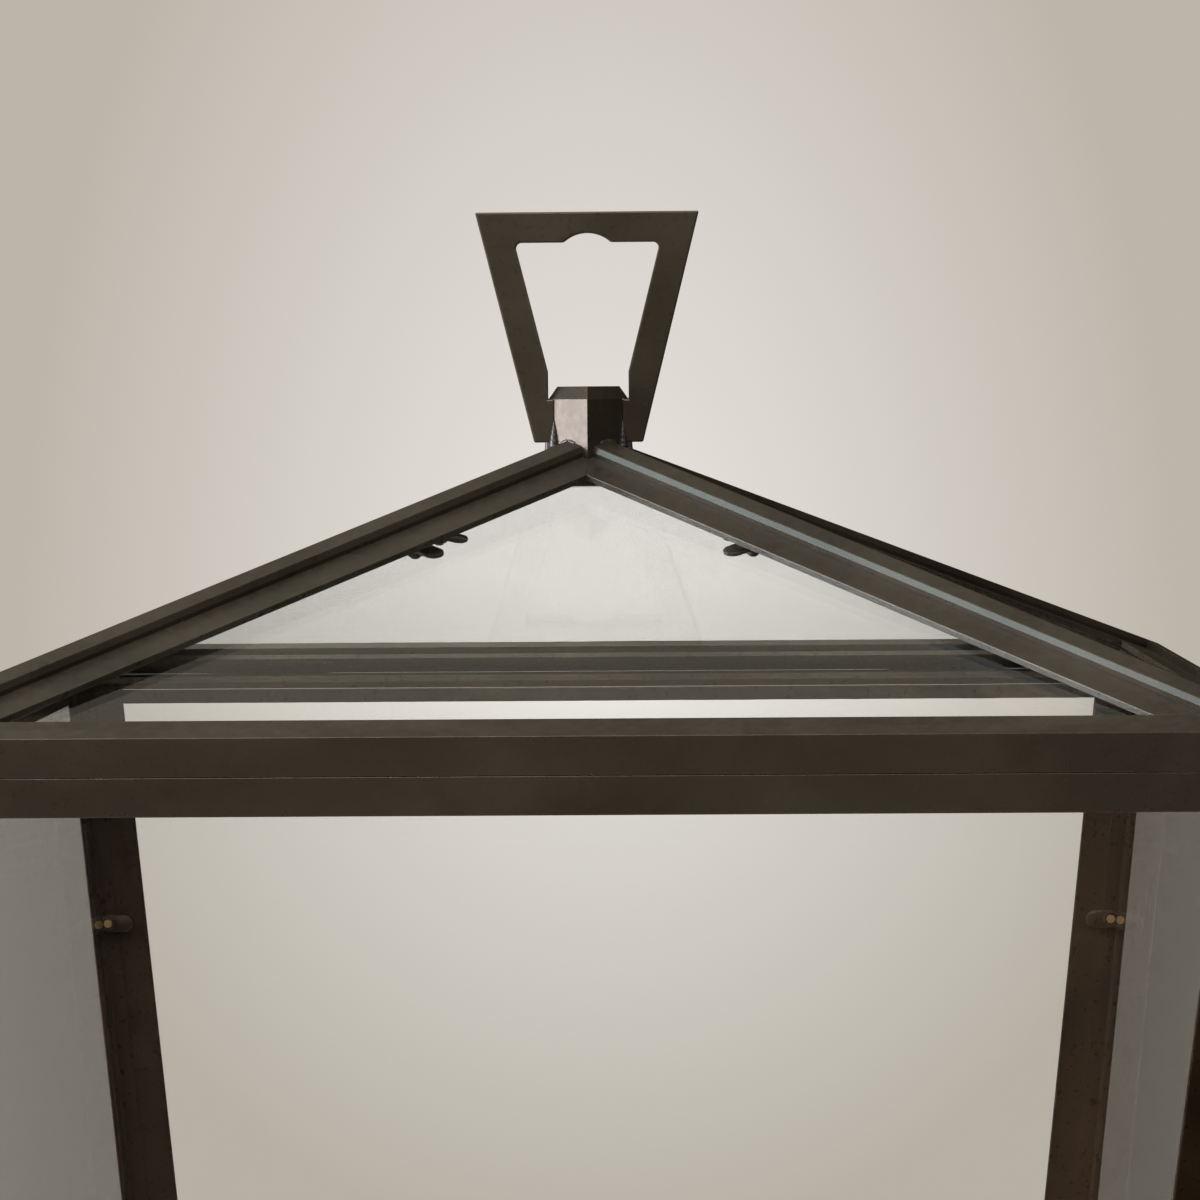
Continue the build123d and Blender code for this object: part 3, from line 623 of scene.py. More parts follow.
@dataclass(frozen=True)
class PalePaper(Finish):
    """Pale matt sheet that the lantern stands on."""

    name: str = "pale_studio_floor"
    pale: Colour = (0.72, 0.70, 0.67)
    grey: Colour = (0.70, 0.68, 0.65)

    def wire(self, nodes: Nodes, shader: bpy.types.Node) -> None:
        """Join a faint mottle into the shader."""
        patina = PATINA.place(nodes, Broad_Scale=3.0, Fine_Scale=300.0)
        self.join(nodes, shader, {
            "Base Color": nodes.mix(patina["Broad"], self.pale, self.grey),
            "Roughness": nodes.ramp(patina["Fine"], 0, 1, 0.7, 0.85),
        })


# Body bars that get the darker copy of the bronze coat: painted shade under the roof and inside the body.
SHADED_BODY_BARS = ("corner_post_", "base_rails", "floor_plate", "hinge_body_leaves")
FINISHES: dict[Slot, Finish] = {
    Slot.BRONZE: DarkBronze(),
    Slot.GLASS: ClearPane(),
    Slot.BRASS: AgedBrass(),
    Slot.STEEL: PlatedSteel(),
    Slot.SLEEVE: IvoryCard(),
    Slot.PLASTIC: BlackPlastic(),
    Slot.CAP: NickelCap(),
    Slot.BULB: BulbGlass(),
}


# ---- meshes ----
def add_piece(name: str, mesh: bmesh.types.BMesh, finish: Finish, smooth: bool = True) -> bpy.types.Object:
    """Turn a built mesh into a piece of the scene.

    Args:
        name: Name of the piece.
        mesh: The mesh, in the frame's place, freed here.
        finish: Its finish.
        smooth: True for curved faces.

    Returns:
        The new object.
    """
    bmesh.ops.recalc_face_normals(mesh, faces=mesh.faces)
    for face in mesh.faces:
        face.smooth = smooth
    data = bpy.data.meshes.new(name)
    mesh.to_mesh(data)
    mesh.free()
    data.materials.append(finish.material())
    piece = bpy.data.objects.new(name, data)
    bpy.context.scene.collection.objects.link(piece)
    return piece


def hang(piece: bpy.types.Object, body: str) -> bpy.types.Object:
    """Make a piece ride on a body.

    Args:
        piece: The new piece.
        body: Name of the body that carries it.

    Returns:
        The same piece.
    """
    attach(piece, body)
    return piece


def ring_solid(mesh: bmesh.types.BMesh, rings: Sequence[Sequence[Vector]], closed: bool) -> None:
    """Skin a solid over rings of equally many points.

    Args:
        mesh: Mesh that the solid is added to.
        rings: The rings, in order.
        closed: True where the last ring joins the first, False where both ends are capped.
    """
    made = [[mesh.verts.new(point) for point in ring] for ring in rings]
    pairs = list(zip(made, made[1:]))
    if closed:
        pairs.append((made[-1], made[0]))
    for low, high in pairs:
        count = len(low)
        for i in range(count):
            mesh.faces.new((low[i], low[(i + 1) % count], high[(i + 1) % count], high[i]))
    if not closed:
        mesh.faces.new(made[0])
        mesh.faces.new(made[-1])


def turned(mesh: bmesh.types.BMesh, profile: Profile, place: Matrix, steps: int = 48,
           closed: bool = False) -> None:
    """Turn a profile of radius and height round the Z axis of a place.

    Args:
        mesh: Mesh that the solid is added to.
        profile: Radius and height of each ring.
        place: Frame of the piece.
        steps: Points round a ring.
        closed: True where the profile is a loop.
    """
    angles = [TURN * i / steps for i in range(steps)]
    rings = [[place @ Vector((r * math.cos(a), r * math.sin(a), z)) for a in angles] for r, z in profile]
    ring_solid(mesh, rings, closed)


def hexagon_reach(angle: float, flats: float) -> float:
    """Distance from a hexagon's centre to its side, at an angle."""
    step = TURN / 6
    return flats / 2 / math.cos((angle + step / 2) % step - step / 2)


def frame_on(origin: Vector, up: Vector, along: Vector | None = None) -> Matrix:
    """Make a frame from an origin, its Z direction and roughly its X direction.

    Args:
        origin: Origin of the frame.
        up: Its Z direction.
        along: Its X direction, or None for any.

    Returns:
        The frame as a matrix.
    """
    z = up.normalized()
    spare = Vector((1, 0, 0)) if abs(z.x) < 0.9 else Vector((0, 1, 0))
    guide = spare if along is None else along
    x = (guide - z * guide.dot(z)).normalized()
    y = z.cross(x)
    matrix = Matrix((x, y, z)).transposed().to_4x4()
    matrix.translation = origin
    return matrix


# ---- the frame's own nodes ----
@dataclass
class FrameDress:
    """Finishes and softened edges on the nodes that keep their own shape."""

    edges: dict[str, float] = field(default_factory=lambda: {
        "hip_rafter_": 0.15 * MM,
        "eave_rail_": 0.12 * MM,
        "finial_loop": 0.45 * MM,
        "apex_boss": 0.40 * MM,
        "corner_post_": 0.35 * MM,
        "top_rails": 0.12 * MM,
        "base_rails": 0.30 * MM,
        "roof_pane_": 0.45 * MM,
        "body_pane_": 0.45 * MM,
    })
    join: float = 0.01 * MM
    flat: float = 0.5
    sharp: float = 25.0

    def dress(self) -> None:
        """Give each node the finish of its slot, the body's bars a darker copy of the bronze that paints in
        shade, and round the edges of bars and panes.
        """
        for name, node in frame["nodes"].items():
            finish = FINISHES[Slot(node.material_slots[0].material.name)]
            if name.startswith(SHADED_BODY_BARS):
                finish = ShadedBodyBronze()
            for place in node.material_slots:
                place.material = finish.material()
            for start, width in self.edges.items():
                if name.startswith(start):
                    self.soften(node, width)
        LOG.info("dressed %d frame nodes", len(frame["nodes"]))

    def soften(self, node: bpy.types.Object, width: float) -> None:
        """Join a node's triangles into whole faces, and round its sharp edges.

        Args:
            node: The node.
            width: Width of the rounding.
        """
        weld = node.modifiers.new("join", "WELD")
        weld.merge_threshold = self.join
        whole = node.modifiers.new("whole_faces", "DECIMATE")
        whole.decimate_type = "DISSOLVE"
        whole.angle_limit = math.radians(self.flat)
        node.modifiers.new("plain", "NODES").node_group = plain_shading()
        bevel = node.modifiers.new("soften", "BEVEL")
        bevel.width = width
        bevel.segments = 2
        bevel.limit_method = "ANGLE"
        bevel.angle_limit = math.radians(self.sharp)


def plain_shading() -> bpy.types.NodeTree:
    """Find or make the modifier group that gives flat-faced bars plain, crisp shading.

    Returns:
        The group's node tree.
    """
    name = "plain_shading"
    if name in bpy.data.node_groups:
        return bpy.data.node_groups[name]
    tree = bpy.data.node_groups.new(name, "GeometryNodeTree")
    for way in ("INPUT", "OUTPUT"):
        tree.interface.new_socket("Geometry", in_out=way, socket_type="NodeSocketGeometry")
    nodes = Nodes(tree)
    entry = nodes.add("NodeGroupInput")
    bare = nodes.add("GeometryNodeRemoveAttribute", {"Geometry": entry.outputs[0], "Name": "custom_normal"})
    flat = nodes.add("GeometryNodeSetShadeSmooth", {"Geometry": bare.outputs[0], "Shade Smooth": False})
    nodes.add("NodeGroupOutput", {0: flat.outputs[0]})
    return tree


# ---- turn clips ----
@dataclass
class TurnClips:
    """The sixteen turn clips that hold the panes, with the nuts on their studs."""

    width: float = 5.4 * MM
    thickness: float = 1.2 * MM
    hole: float = 1.33 * MM
    rounding: float = 0.3 * MM
    nut_flats: float = 4.2 * MM
    nut_height: float = 1.9 * MM
    nut_gap: float = 0.1 * MM
    stud: float = 1.26 * MM
    steps: int = 60

    def joints(self) -> Iterable[dict]:
        """The joints that clips turn on."""
        return (joint for joint in frame["joints"] if "_clip_" in joint["name"])

    def build(self) -> None:
        """Replace each clip's node with a rounded one, and add its nut."""
        for joint in self.joints():
            node = joint["child"]
            low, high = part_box(node)
            origin = Vector(joint["pos_m"])
            place = frame_on(origin, Vector(joint["axis"]), (low + high) / 2 - origin)
            on_roof = joint["parent"] == Body.ROOF.value
            # Clips on the body get the darker copy of the bronze coat, which paints in shade.
            finish = FINISHES[Slot.BRONZE] if on_roof else ShadedBodyBronze()
            clip = self.build_clip(node + "_pill", place, self.reach(node, place), finish)
            hang(clip, node)
            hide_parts(node)
            hang(self.build_nut(node + "_nut", place, finish), joint["parent"])
            LOG.info("built %s", clip.name)

    @staticmethod
    def reach(node: str, place: Matrix) -> float:
        """Distance from a clip's stud to its tip, as its node has it."""
        local = place.inverted()
        return max((local @ vertex.co).x for vertex in frame["nodes"][node].data.vertices)

    def outline(self, angle: float, reach: float, inset: float) -> Vector:
        """Point of the clip's rounded outline, seen from its stud.

        Args:
            angle: Direction from the stud.
            reach: Stud to tip.
            inset: Distance inside the outline.

        Returns:
            The point, in the clip's frame.
        """
        radius = self.width / 2 - inset
        far = reach - self.width / 2
        x, y = math.cos(angle), math.sin(angle)
        if x <= 0:
            return Vector((radius * x, radius * y, 0))
        side = radius / abs(y) if abs(y) > 1e-9 else math.inf
        if side * x <= far:
            return Vector((side * x, side * y, 0))
        along = far * x + math.sqrt(max(radius**2 - (far * y) ** 2, 0.0))
        return Vector((along * x, along * y, 0))

    def build_clip(self, name: str, place: Matrix, reach: float, finish: Finish) -> bpy.types.Object:
        """Build a pill-shaped clip with a hole for its stud.

        Args:
            name: Name of the piece.
            place: The stud's frame, on the clip's outer face.
            reach: Stud to tip.
            finish: Finish of the clip.

        Returns:
            The clip.
        """
        soft, deep = self.rounding, self.thickness
        levels = [(soft, 0.0), (soft * 0.3, -soft * 0.3), (0.0, -soft), (0.0, -deep + soft),
                  (soft * 0.3, -deep + soft * 0.3), (soft, -deep)]
        angles = [TURN * i / self.steps for i in range(self.steps)]
        rings = [[place @ (self.outline(a, reach, inset) + Vector((0, 0, z))) for a in angles]
                 for inset, z in levels]
        hole = [Vector((self.hole * math.cos(a), self.hole * math.sin(a), 0)) for a in angles]
        for z in (-deep, 0.0):
            rings.append([place @ (point + Vector((0, 0, z))) for point in hole])
        mesh = bmesh.new()
        ring_solid(mesh, rings, closed=True)
        clip = add_piece(name, mesh, finish)
        split_edges(clip)
        return clip

    def build_nut(self, name: str, place: Matrix, finish: Finish) -> bpy.types.Object:
        """Build the hexagon nut that keeps a clip on its stud.

        Args:
            name: Name of the piece.
            place: The stud's frame, on the clip's outer face.
            finish: Finish of the nut.

        Returns:
            The nut.
        """
        start = -self.thickness - self.nut_gap
        mesh = bmesh.new()
        hexagon_nut(mesh, place, self.nut_flats, self.stud, start - self.nut_height, start)
        nut = add_piece(name, mesh, finish)
        split_edges(nut)
        return nut


def hexagon_nut(mesh: bmesh.types.BMesh, place: Matrix, flats: float, hole: float, low: float,
                high: float) -> None:
    """Add a hexagon nut with turned-off corners.

    Args:
        mesh: Mesh that the nut is added to.
        place: Frame of the nut, Z along its hole.
        flats: Width across its flats.
        hole: Radius of its hole.
        low: Lower end.
        high: Upper end.
    """
    steps = 60
    angles = [TURN * i / steps for i in range(steps)]
    slope = (high - low) * 0.16

    def ring(cap: float, z: float) -> list[Vector]:
        """Points round the nut, no further out than a cap, at a level."""
        reach = [min(hexagon_reach(a, flats), cap) for a in angles]
        return [place @ Vector((r * math.cos(a), r * math.sin(a), z)) for r, a in zip(reach, angles)]

    corner, face, mouth = flats * 0.578, flats * 0.49, hole * 1.12
    rings = [ring(face, low), ring(corner, low + slope), ring(corner, high - slope), ring(face, high),
             ring(mouth, high), ring(hole, high - slope), ring(hole, low + slope), ring(mouth, low)]
    ring_solid(mesh, rings, closed=True)


def split_edges(piece: bpy.types.Object, angle: float = 28.0) -> None:
    """Keep a piece's curved faces smooth and its corners sharp.

    Args:
        piece: The piece.
        angle: Degrees above which an edge is sharp.
    """
    split = piece.modifiers.new("sharp_edges", "EDGE_SPLIT")
    split.split_angle = math.radians(angle)
    split.use_edge_sharp = False


# ---- hip bars ----
@dataclass(frozen=True)
class RoofBars:
    """Sizes of the frame's stepped roof bars, which the added pieces sit on."""

    pitch: float = 21.8
    hip_cap: float = 5.7 * MM
    cap_step: float = 2.7 * MM
    eave_cap: float = 4.8 * MM
    foot_drop: float = 2.8 * MM

    def foot(self) -> float:
        """Level of the underside of the finial's feet."""
        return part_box("finial_loop")[0].z

    def apex(self) -> float:
        """Level of the bars' apex."""
        return self.foot() + self.foot_drop

    def slope(self) -> float:
        """Rise of the roof over its run."""
        return math.tan(math.radians(self.pitch))


ROOF_BARS = RoofBars()


@dataclass
class HipChamfers:
    """Slanted face along the step of each hip bar, from the cap down to the wing."""

    height: float = 1.45 * MM
    lean: float = 33.0
    lip: Profile = ((-0.3 * MM, -0.05 * MM), (-0.02 * MM, -0.02 * MM), (0.12 * MM, -0.14 * MM))
    seat: float = 0.01 * MM
    sunk: float = 0.2 * MM

    def build(self) -> None:
        """Add both strips of each hip bar."""
        for quarter in range(4):
            turn = Matrix.Rotation(TURN * quarter / 4, 3, "Z")
            for hand, side in ((-1, "left"), (1, "right")):
                mesh = bmesh.new()
                rings = [[turn @ point for point in ring] for ring in self.strip(hand)]
                ring_solid(mesh, rings, closed=False)
                name = f"hip_chamfer_{quarter + 1}_{side}"
                hang(add_piece(name, mesh, FINISHES[Slot.BRONZE], smooth=False), Body.ROOF.value)
                LOG.info("built %s", name)

    def section(self) -> list[tuple[float, float]]:
        """Outline of a strip: distance from the hip's line, and height over the cap's face.

        Returns:
            The points, from the inner top corner outward, down and back.
        """
        cap = ROOF_BARS.hip_cap
        outer = cap + self.height * math.tan(math.radians(self.lean))
        floor = self.seat - ROOF_BARS.cap_step
        points = [(cap + out, level) for out, level in self.lip]
        return points + [(outer, -self.height), (outer, floor), (points[0][0], floor)]

    def strip(self, hand: int) -> list[list[Vector]]:
        """Rings at both ends of a strip on the front slope.

        Args:
            hand: -1 for the left hip, 1 for the right one.

        Returns:
            The ring at the boss and the ring at the eave's cap.
        """
        pitch = math.radians(ROOF_BARS.pitch)
        spread = math.atan(math.cos(pitch))
        down = Vector((0, -math.cos(pitch), -math.sin(pitch)))
        out = Vector((0, -math.sin(pitch), math.cos(pitch)))
        along = down * math.cos(spread) + Vector((hand, 0, 0)) * math.sin(spread)
        inward = down * math.sin(spread) - Vector((hand, 0, 0)) * math.cos(spread)
        hip = Vector((hand, -1, 0)).normalized()
        boss_low, boss_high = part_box("apex_boss")
        boss = (boss_high.x - boss_low.x) / 2 / math.sqrt(2) - self.sunk
        length = -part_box("eave_rail_front")[0].y / math.cos(pitch) - ROOF_BARS.eave_cap
        peak = Vector((0, 0, ROOF_BARS.apex()))
        near, far = [], []
        for side, height in self.section():
            across = inward * side + out * height
            start = (boss - across.dot(hip)) / along.dot(hip)
            end = (length - side * math.sin(spread)) / math.cos(spread)
            near.append(peak + along * start + across)
            far.append(peak + along * end + across)
        return [near, far]


# ---- welds ----
@dataclass
class Welds:
    """Beads of weld at the finial's foot and in the corners of the rails."""

    boss_half: float = 11.31 * MM
    boss_inset: float = 0.9 * MM
    boss_corner: float = 3.0 * MM
    fillet_top: float = 12.0 * MM
    fillet_inset: float = 1.2 * MM
    fillet_flare: float = 1.5 * MM
    fillet_half: float = 1.95 * MM
    fillet_bulge: float = 0.25 * MM
    fillet_edge: float = 0.35 * MM
    leg_face: float = 1.75 * MM
    leg_drop: float = 1.2 * MM
    leg_bead: float = 1.35 * MM
    leg_bead_rise: float = 7.5 * MM
    rail_wall: float = 2.0 * MM
    top_rail_ends: tuple[float, float] = (1.0 * MM, 2.4 * MM)
    base_rail_run: tuple[float, float] = (1.0 * MM, 12.0 * MM)
    lap: float = 0.35 * MM
    bead: float = 0.9 * MM
    ripple: float = 1.5 * MM

    def build(self) -> None:
        """Add every bead."""
        self.build_foot_fillets()
        self.build_leg_beads()
        self.build_boss_beads()
        self.build_rail_beads()

    def bead_along(self, name: str, points: Sequence[Vector], radius: float, body: Body) -> None:
        """Lay a rippled bead along a path.

        Args:
            name: Name of the piece.
            points: Ends and corners of the path.
            radius: Radius of the bead.
            body: Body that carries it.
        """
        mesh = bmesh.new()
        for start, end in zip(points, points[1:]):
            length = (end - start).length
            count = max(int(length / (self.ripple * 0.25)), 6)
            place = frame_on(start, end - start)
            profile = []
            for i in range(count + 1):
                t = i / count
                swell = 0.88 + 0.12 * math.cos(TURN * t * length / self.ripple)
                close = math.sqrt(max(1 - (2 * t - 1) ** 8, 0.0))
                profile.append((radius * swell * (0.25 + 0.75 * close), t * length))
            turned(mesh, profile, place, steps=14)
        hang(add_piece(name, mesh, WeldMetal()), body.value)
        LOG.info("built %s", name)

    def fillet_outline(self, grow: float) -> list[tuple[float, float]]:
        """Outline of a fillet under one foot: distance from the axis, and level.

        Args:
            grow: How far the hollow face is pushed out.

        Returns:
            The points, from the inner top corner outward and down.
        """
        top = ROOF_BARS.foot() + 0.05 * MM
        inner = self.boss_half - self.fillet_inset
        wing = ROOF_BARS.cap_step / math.cos(math.radians(ROOF_BARS.pitch))
        outer = self.fillet_top + self.fillet_flare
        floor = ROOF_BARS.apex() - outer * ROOF_BARS.slope() - wing
        points = [(inner, top)]
        for i in range(9):
            t = i / 8
            points.append((self.fillet_top + grow + self.fillet_flare * t**2.2, top + (floor - top) * t))
        points.append((inner, ROOF_BARS.apex() - inner * ROOF_BARS.slope() - wing))
        return points

    def build_foot_fillets(self) -> None:
        """Fill between each foot of the finial and the bars under it with a hollow-faced weld."""
        half, bulge, edge = self.fillet_half, self.fillet_bulge, -self.fillet_edge
        bands = [(-half, edge), (-half * 0.85, 0.0), (-half * 0.4, bulge),
                 (half * 0.4, bulge), (half * 0.85, 0.0), (half, edge)]
        for hand, side in (("left", -1), ("right", 1)):
            mesh = bmesh.new()
            rings = [[Vector((side * x, y, z)) for x, z in self.fillet_outline(grow)] for y, grow in bands]
            ring_solid(mesh, rings, closed=False)
            fillet = add_piece(f"finial_foot_weld_{hand}", mesh, WeldMetal())
            split_edges(fillet, 50.0)
            hang(fillet, Body.ROOF.value)
            LOG.info("built %s", fillet.name)

    def build_leg_beads(self) -> None:
        """Run a tapering bead up each corner between a leg of the finial and the boss."""
        x = self.boss_half - self.leg_face
        start = ROOF_BARS.foot() - self.leg_drop
        for number, (across, along) in enumerate(((-1, -1), (1, -1), (-1, 1), (1, 1)), start=1):
            mesh = bmesh.new()
            place = Matrix.Translation((across * (x + 0.1 * MM), along * (self.leg_face + 0.1 * MM), start))
            profile = []
            for i in range(21):
                t = i / 20
                swell = 0.94 + 0.06 * math.cos(TURN * t * self.leg_bead_rise / self.ripple)
                profile.append((self.leg_bead * swell * (1 - t**1.4) + 0.02 * MM, t * self.leg_bead_rise))
            turned(mesh, profile, place, steps=20)
            hang(add_piece(f"leg_weld_{number}", mesh, WeldMetal()), Body.ROOF.value)
            LOG.info("built leg_weld_%d", number)

    def build_boss_beads(self) -> None:
        """Lay beads where the boss's four sides meet the hip bars."""
        reach, inner = self.boss_half - self.boss_inset, self.boss_corner
        for quarter in range(4):
            turn = Matrix.Rotation(TURN * quarter / 4, 3, "Z")
            start = Vector((-reach + inner, -inner, 0))
            end = Vector((-inner, -reach + inner, 0))
            outward = Vector((-self.lap, -self.lap, 0))
            points = []
            for point in (start, (start + end) / 2, end):
                place = point + outward
                level = ROOF_BARS.apex() - max(abs(place.x), abs(place.y)) * ROOF_BARS.slope()
                points.append(turn @ Vector((place.x, place.y, level)))
            self.bead_along(f"boss_weld_{quarter + 1}", points, self.bead * 0.7, Body.ROOF)

    def build_rail_beads(self) -> None:
        """Lay upright beads inside the mitred corners of the top and base rails."""
        low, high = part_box("top_rails")
        inside = high.x - self.rail_wall - self.lap
        over, under = self.top_rail_ends
        base_low, base_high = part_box("base_rails")
        edge = base_high.x - self.rail_wall
        floor = base_low.z + 0.1 * MM
        for quarter in range(4):
            turn = Matrix.Rotation(TURN * quarter / 4, 3, "Z")
            points = [turn @ Vector((-inside, -inside, z)) for z in (low.z + over, high.z - under)]
            self.bead_along(f"top_rail_weld_{quarter + 1}", points, self.bead * 0.6, Body.LANTERN)
            run = [turn @ Vector((-edge + d, -edge + d, floor)) for d in self.base_rail_run]
            self.bead_along(f"base_rail_weld_{quarter + 1}", run, self.bead * 0.5, Body.LANTERN)


# ---- fitter ----
@dataclass
class FitterNuts:
    """Nuts and washers on the floor that hold the fitter's four bolts."""

    circle: float = 52.0 * MM
    flats: float = 8.0 * MM
    height: float = 3.7 * MM
    hole: float = 2.51 * MM
    washer: float = 5.4 * MM
    washer_height: float = 0.8 * MM
    rounding: float = 0.15 * MM
    floor_lip: float = 4.0 * MM

    def build(self) -> None:
        """Add a washer and a nut to each bolt."""
        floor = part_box("floor_plate")[1].z - self.floor_lip
        for bolt in range(4):
            angle = TURN * (bolt + 0.5) / 4
            place = Matrix.Translation((self.circle * math.cos(angle), self.circle * math.sin(angle), floor))
            mesh = bmesh.new()
            rim, edge, top = self.washer, self.rounding, self.washer_height
            profile = [(self.hole, 0.0), (rim - edge, 0.0), (rim, edge), (rim, top - edge),
                       (rim - edge, top), (self.hole, top)]
            turned(mesh, profile, place, closed=True)
            hexagon_nut(mesh, place, self.flats, self.hole, top, top + self.height)
            nut = add_piece(f"fitter_nut_{bolt + 1}", mesh, FINISHES[Slot.STEEL])
            split_edges(nut)
            hang(nut, Body.LANTERN.value)
            LOG.info("built %s", nut.name)


# ---- lamp ----
@dataclass
class BulbInside:
    """The blown glass of the bulb and the mount and filaments in it."""

    wall: float = 0.8 * MM
    neck_rise: float = 9.0 * MM
    crown_rise: float = 13.0 * MM
    mount: float = 4.2 * MM
    mount_start: float = 1.2 * MM
    mount_profile: Profile = ((2.0, 0.0), (1.7, 2.5), (1.0, 6.0), (0.75, 12.0), (0.7, 20.0), (0.55, 23.0),
                              (0.3, 24.5))
    wire: float = 0.25 * MM
    wire_start: float = 24.0 * MM
    filament: float = 0.9 * MM
    filament_start: float = 27.0 * MM
    filament_length: float = 40.0 * MM
    filament_circle: float = 6.0 * MM
    filament_top: float = 0.72
    pole: float = 0.02 * MM

    def build(self) -> None:
        """Add the glass, its mount, its wires and its filaments."""
        low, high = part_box("bulb")
        foot, top, radius = low.z, high.z, high.x
        self.build_glass(foot, top, radius)
        self.build_mount(foot)
        self.build_filaments(foot)

    def outline(self, foot: float, top: float, radius: float, shrink: float) -> list[tuple[float, float]]:
        """Radius and level down one side of the glass.

        Args:
            foot: Lower end.
            top: Upper end.
            radius: Radius of the straight part.
            shrink: How far inside the outer face.

        Returns:
            The points, from the foot up.
        """
        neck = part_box("bulb_cap")[1].x - 0.4 * MM
        points = []
        for i in range(13):
            t = i / 12
            ease = t * t * (3 - 2 * t)
            points.append((neck + (radius - neck) * ease - shrink, foot + shrink + self.neck_rise * t))
        base = top - self.crown_rise
        for i in range(17):
            angle = math.pi / 2 * i / 16
            wide = (radius - shrink) * math.cos(angle) ** 0.8 if i < 16 else self.pole
            points.append((max(wide, self.pole), base + (self.crown_rise - shrink) * math.sin(angle)))
        return points

    def build_glass(self, foot: float, top: float, radius: float) -> None:
        """Build the thin shell and let it stand for the bulb's node.

        Args:
            foot: Lower end.
            top: Upper end.
            radius: Outer radius.
        """
        mesh = bmesh.new()
        for shrink in (0.0, self.wall):
            turned(mesh, self.outline(foot, top, radius, shrink), Matrix(), steps=64)
        glass = add_piece("bulb_envelope", mesh, FINISHES[Slot.BULB])
        for face in glass.data.polygons:
            if self.is_inner(glass.data, face):
                face.flip()
        hang(glass, Body.LANTERN.value)
        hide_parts("bulb")
        LOG.info("built %s", glass.name)

    @staticmethod
    def is_inner(data: bpy.types.Mesh, face: bpy.types.MeshPolygon) -> bool:
        """Tell whether a face belongs to the shell's inner skin."""
        return face.index >= len(data.polygons) // 2

    def build_mount(self, foot: float) -> None:
        """Build the pinched glass mount and its two wires.

        Args:
            foot: Level of the glass's lower end.
        """
        mesh = bmesh.new()
        profile = [(self.mount * r, foot + self.mount_start + z * MM) for r, z in self.mount_profile]
        turned(mesh, profile, Matrix(), steps=32)
        mount = hang(add_piece("bulb_mount", mesh, FINISHES[Slot.BULB]), Body.LANTERN.value)
        wires = bmesh.new()
        start = foot + self.wire_start
        for side in (-1, 1):
            for base, tip in self.wire_runs(side, start):
                length = (tip - base).length
                turned(wires, [(self.wire, 0), (self.wire, length)], frame_on(base, tip - base), steps=10)
        hang(add_piece("bulb_wires", wires, FINISHES[Slot.CAP]), Body.LANTERN.value)
        LOG.info("built %s and its wires", mount.name)

    def wire_runs(self, side: int, start: float) -> Iterable[tuple[Vector, Vector]]:
        """Ends of the wires on one side of the mount.

        Args:
            side: -1 or 1.
            start: Level where they leave the mount.

        Returns:
            Pairs of points.
        """
        reach = side * self.filament_circle
        root, foot = start - 4 * MM, start + 3 * MM
        head, crown = foot + self.filament_length, start + 5.5 * MM + self.filament_length
        top = reach * self.filament_top
        return [
            (Vector((side * 1.5 * MM, 0, root)), Vector((reach, 0, foot))),
            (Vector((0, side * 1.2 * MM, root)), Vector((0, reach, foot))),
            (Vector((top, 0, head)), Vector((0, 0, crown))),
            (Vector((0, top, head)), Vector((0, 0, crown))),
        ]

    def build_filaments(self, foot: float) -> None:
        """Build the four leaning filaments.

        Args:
            foot: Level of the glass's lower end.
        """
        mesh = bmesh.new()
        start = foot + self.filament_start
        for quarter in range(4):
            angle = TURN * quarter / 4
            out = Vector((math.cos(angle), math.sin(angle), 0))
            base = out * self.filament_circle + Vector((0, 0, start))
            head = Vector((0, 0, start + self.filament_length))
            tip = out * self.filament_circle * self.filament_top + head
            length = (tip - base).length
            r = self.filament
            profile = [(r * 0.4, 0), (r * 0.9, 0.4 * MM), (r, 1 * MM), (r, length - 1 * MM),
                       (r * 0.9, length - 0.4 * MM), (r * 0.4, length)]
            turned(mesh, profile, frame_on(base, tip - base), steps=20)
        hang(add_piece("bulb_filaments", mesh, FilamentCoat()), Body.LANTERN.value)
        LOG.info("built bulb_filaments")


# ---- studio ----
class Panel(Enum):
    """Soft panels of light: place, aim, width, height, power and colour."""

    KEY = ((-1.75, -0.30, 0.66), (0.0, 0.0, 0.58), 1.1, 0.85, 50.0, (1.0, 0.90, 0.90))
    SKY = ((-1.6, -0.30, 1.33), (0.0, 0.0, 0.56), 0.8, 0.38, 6.0, (0.48, 0.86, 1.0))
    FILL = ((-0.25, -1.5, 1.75), (0.0, 0.0, 0.5), 0.8, 0.6, 15.0, (1.0, 0.95, 0.86))
    TOP = ((-0.5, -0.5, 2.3), (0.0, 0.0, 0.4), 1.6, 1.6, 10.0, (1.0, 0.97, 0.93))
    SIDE = ((1.3, -1.35, 0.95), (0.0, 0.0, 0.5), 0.5, 0.6, 2.0, (1.0, 0.93, 0.84))


class Glow(Enum):
    """Soft patches of brightness in the room: direction, how wide, and colour."""

    WINDOW = ((-0.905, 0.18, -0.385), 0.32, (5.6, 6.3, 6.9))
    FAR_WALL = ((-0.03, -0.995, -0.086), 0.12, (2.8, 2.1, 1.4))


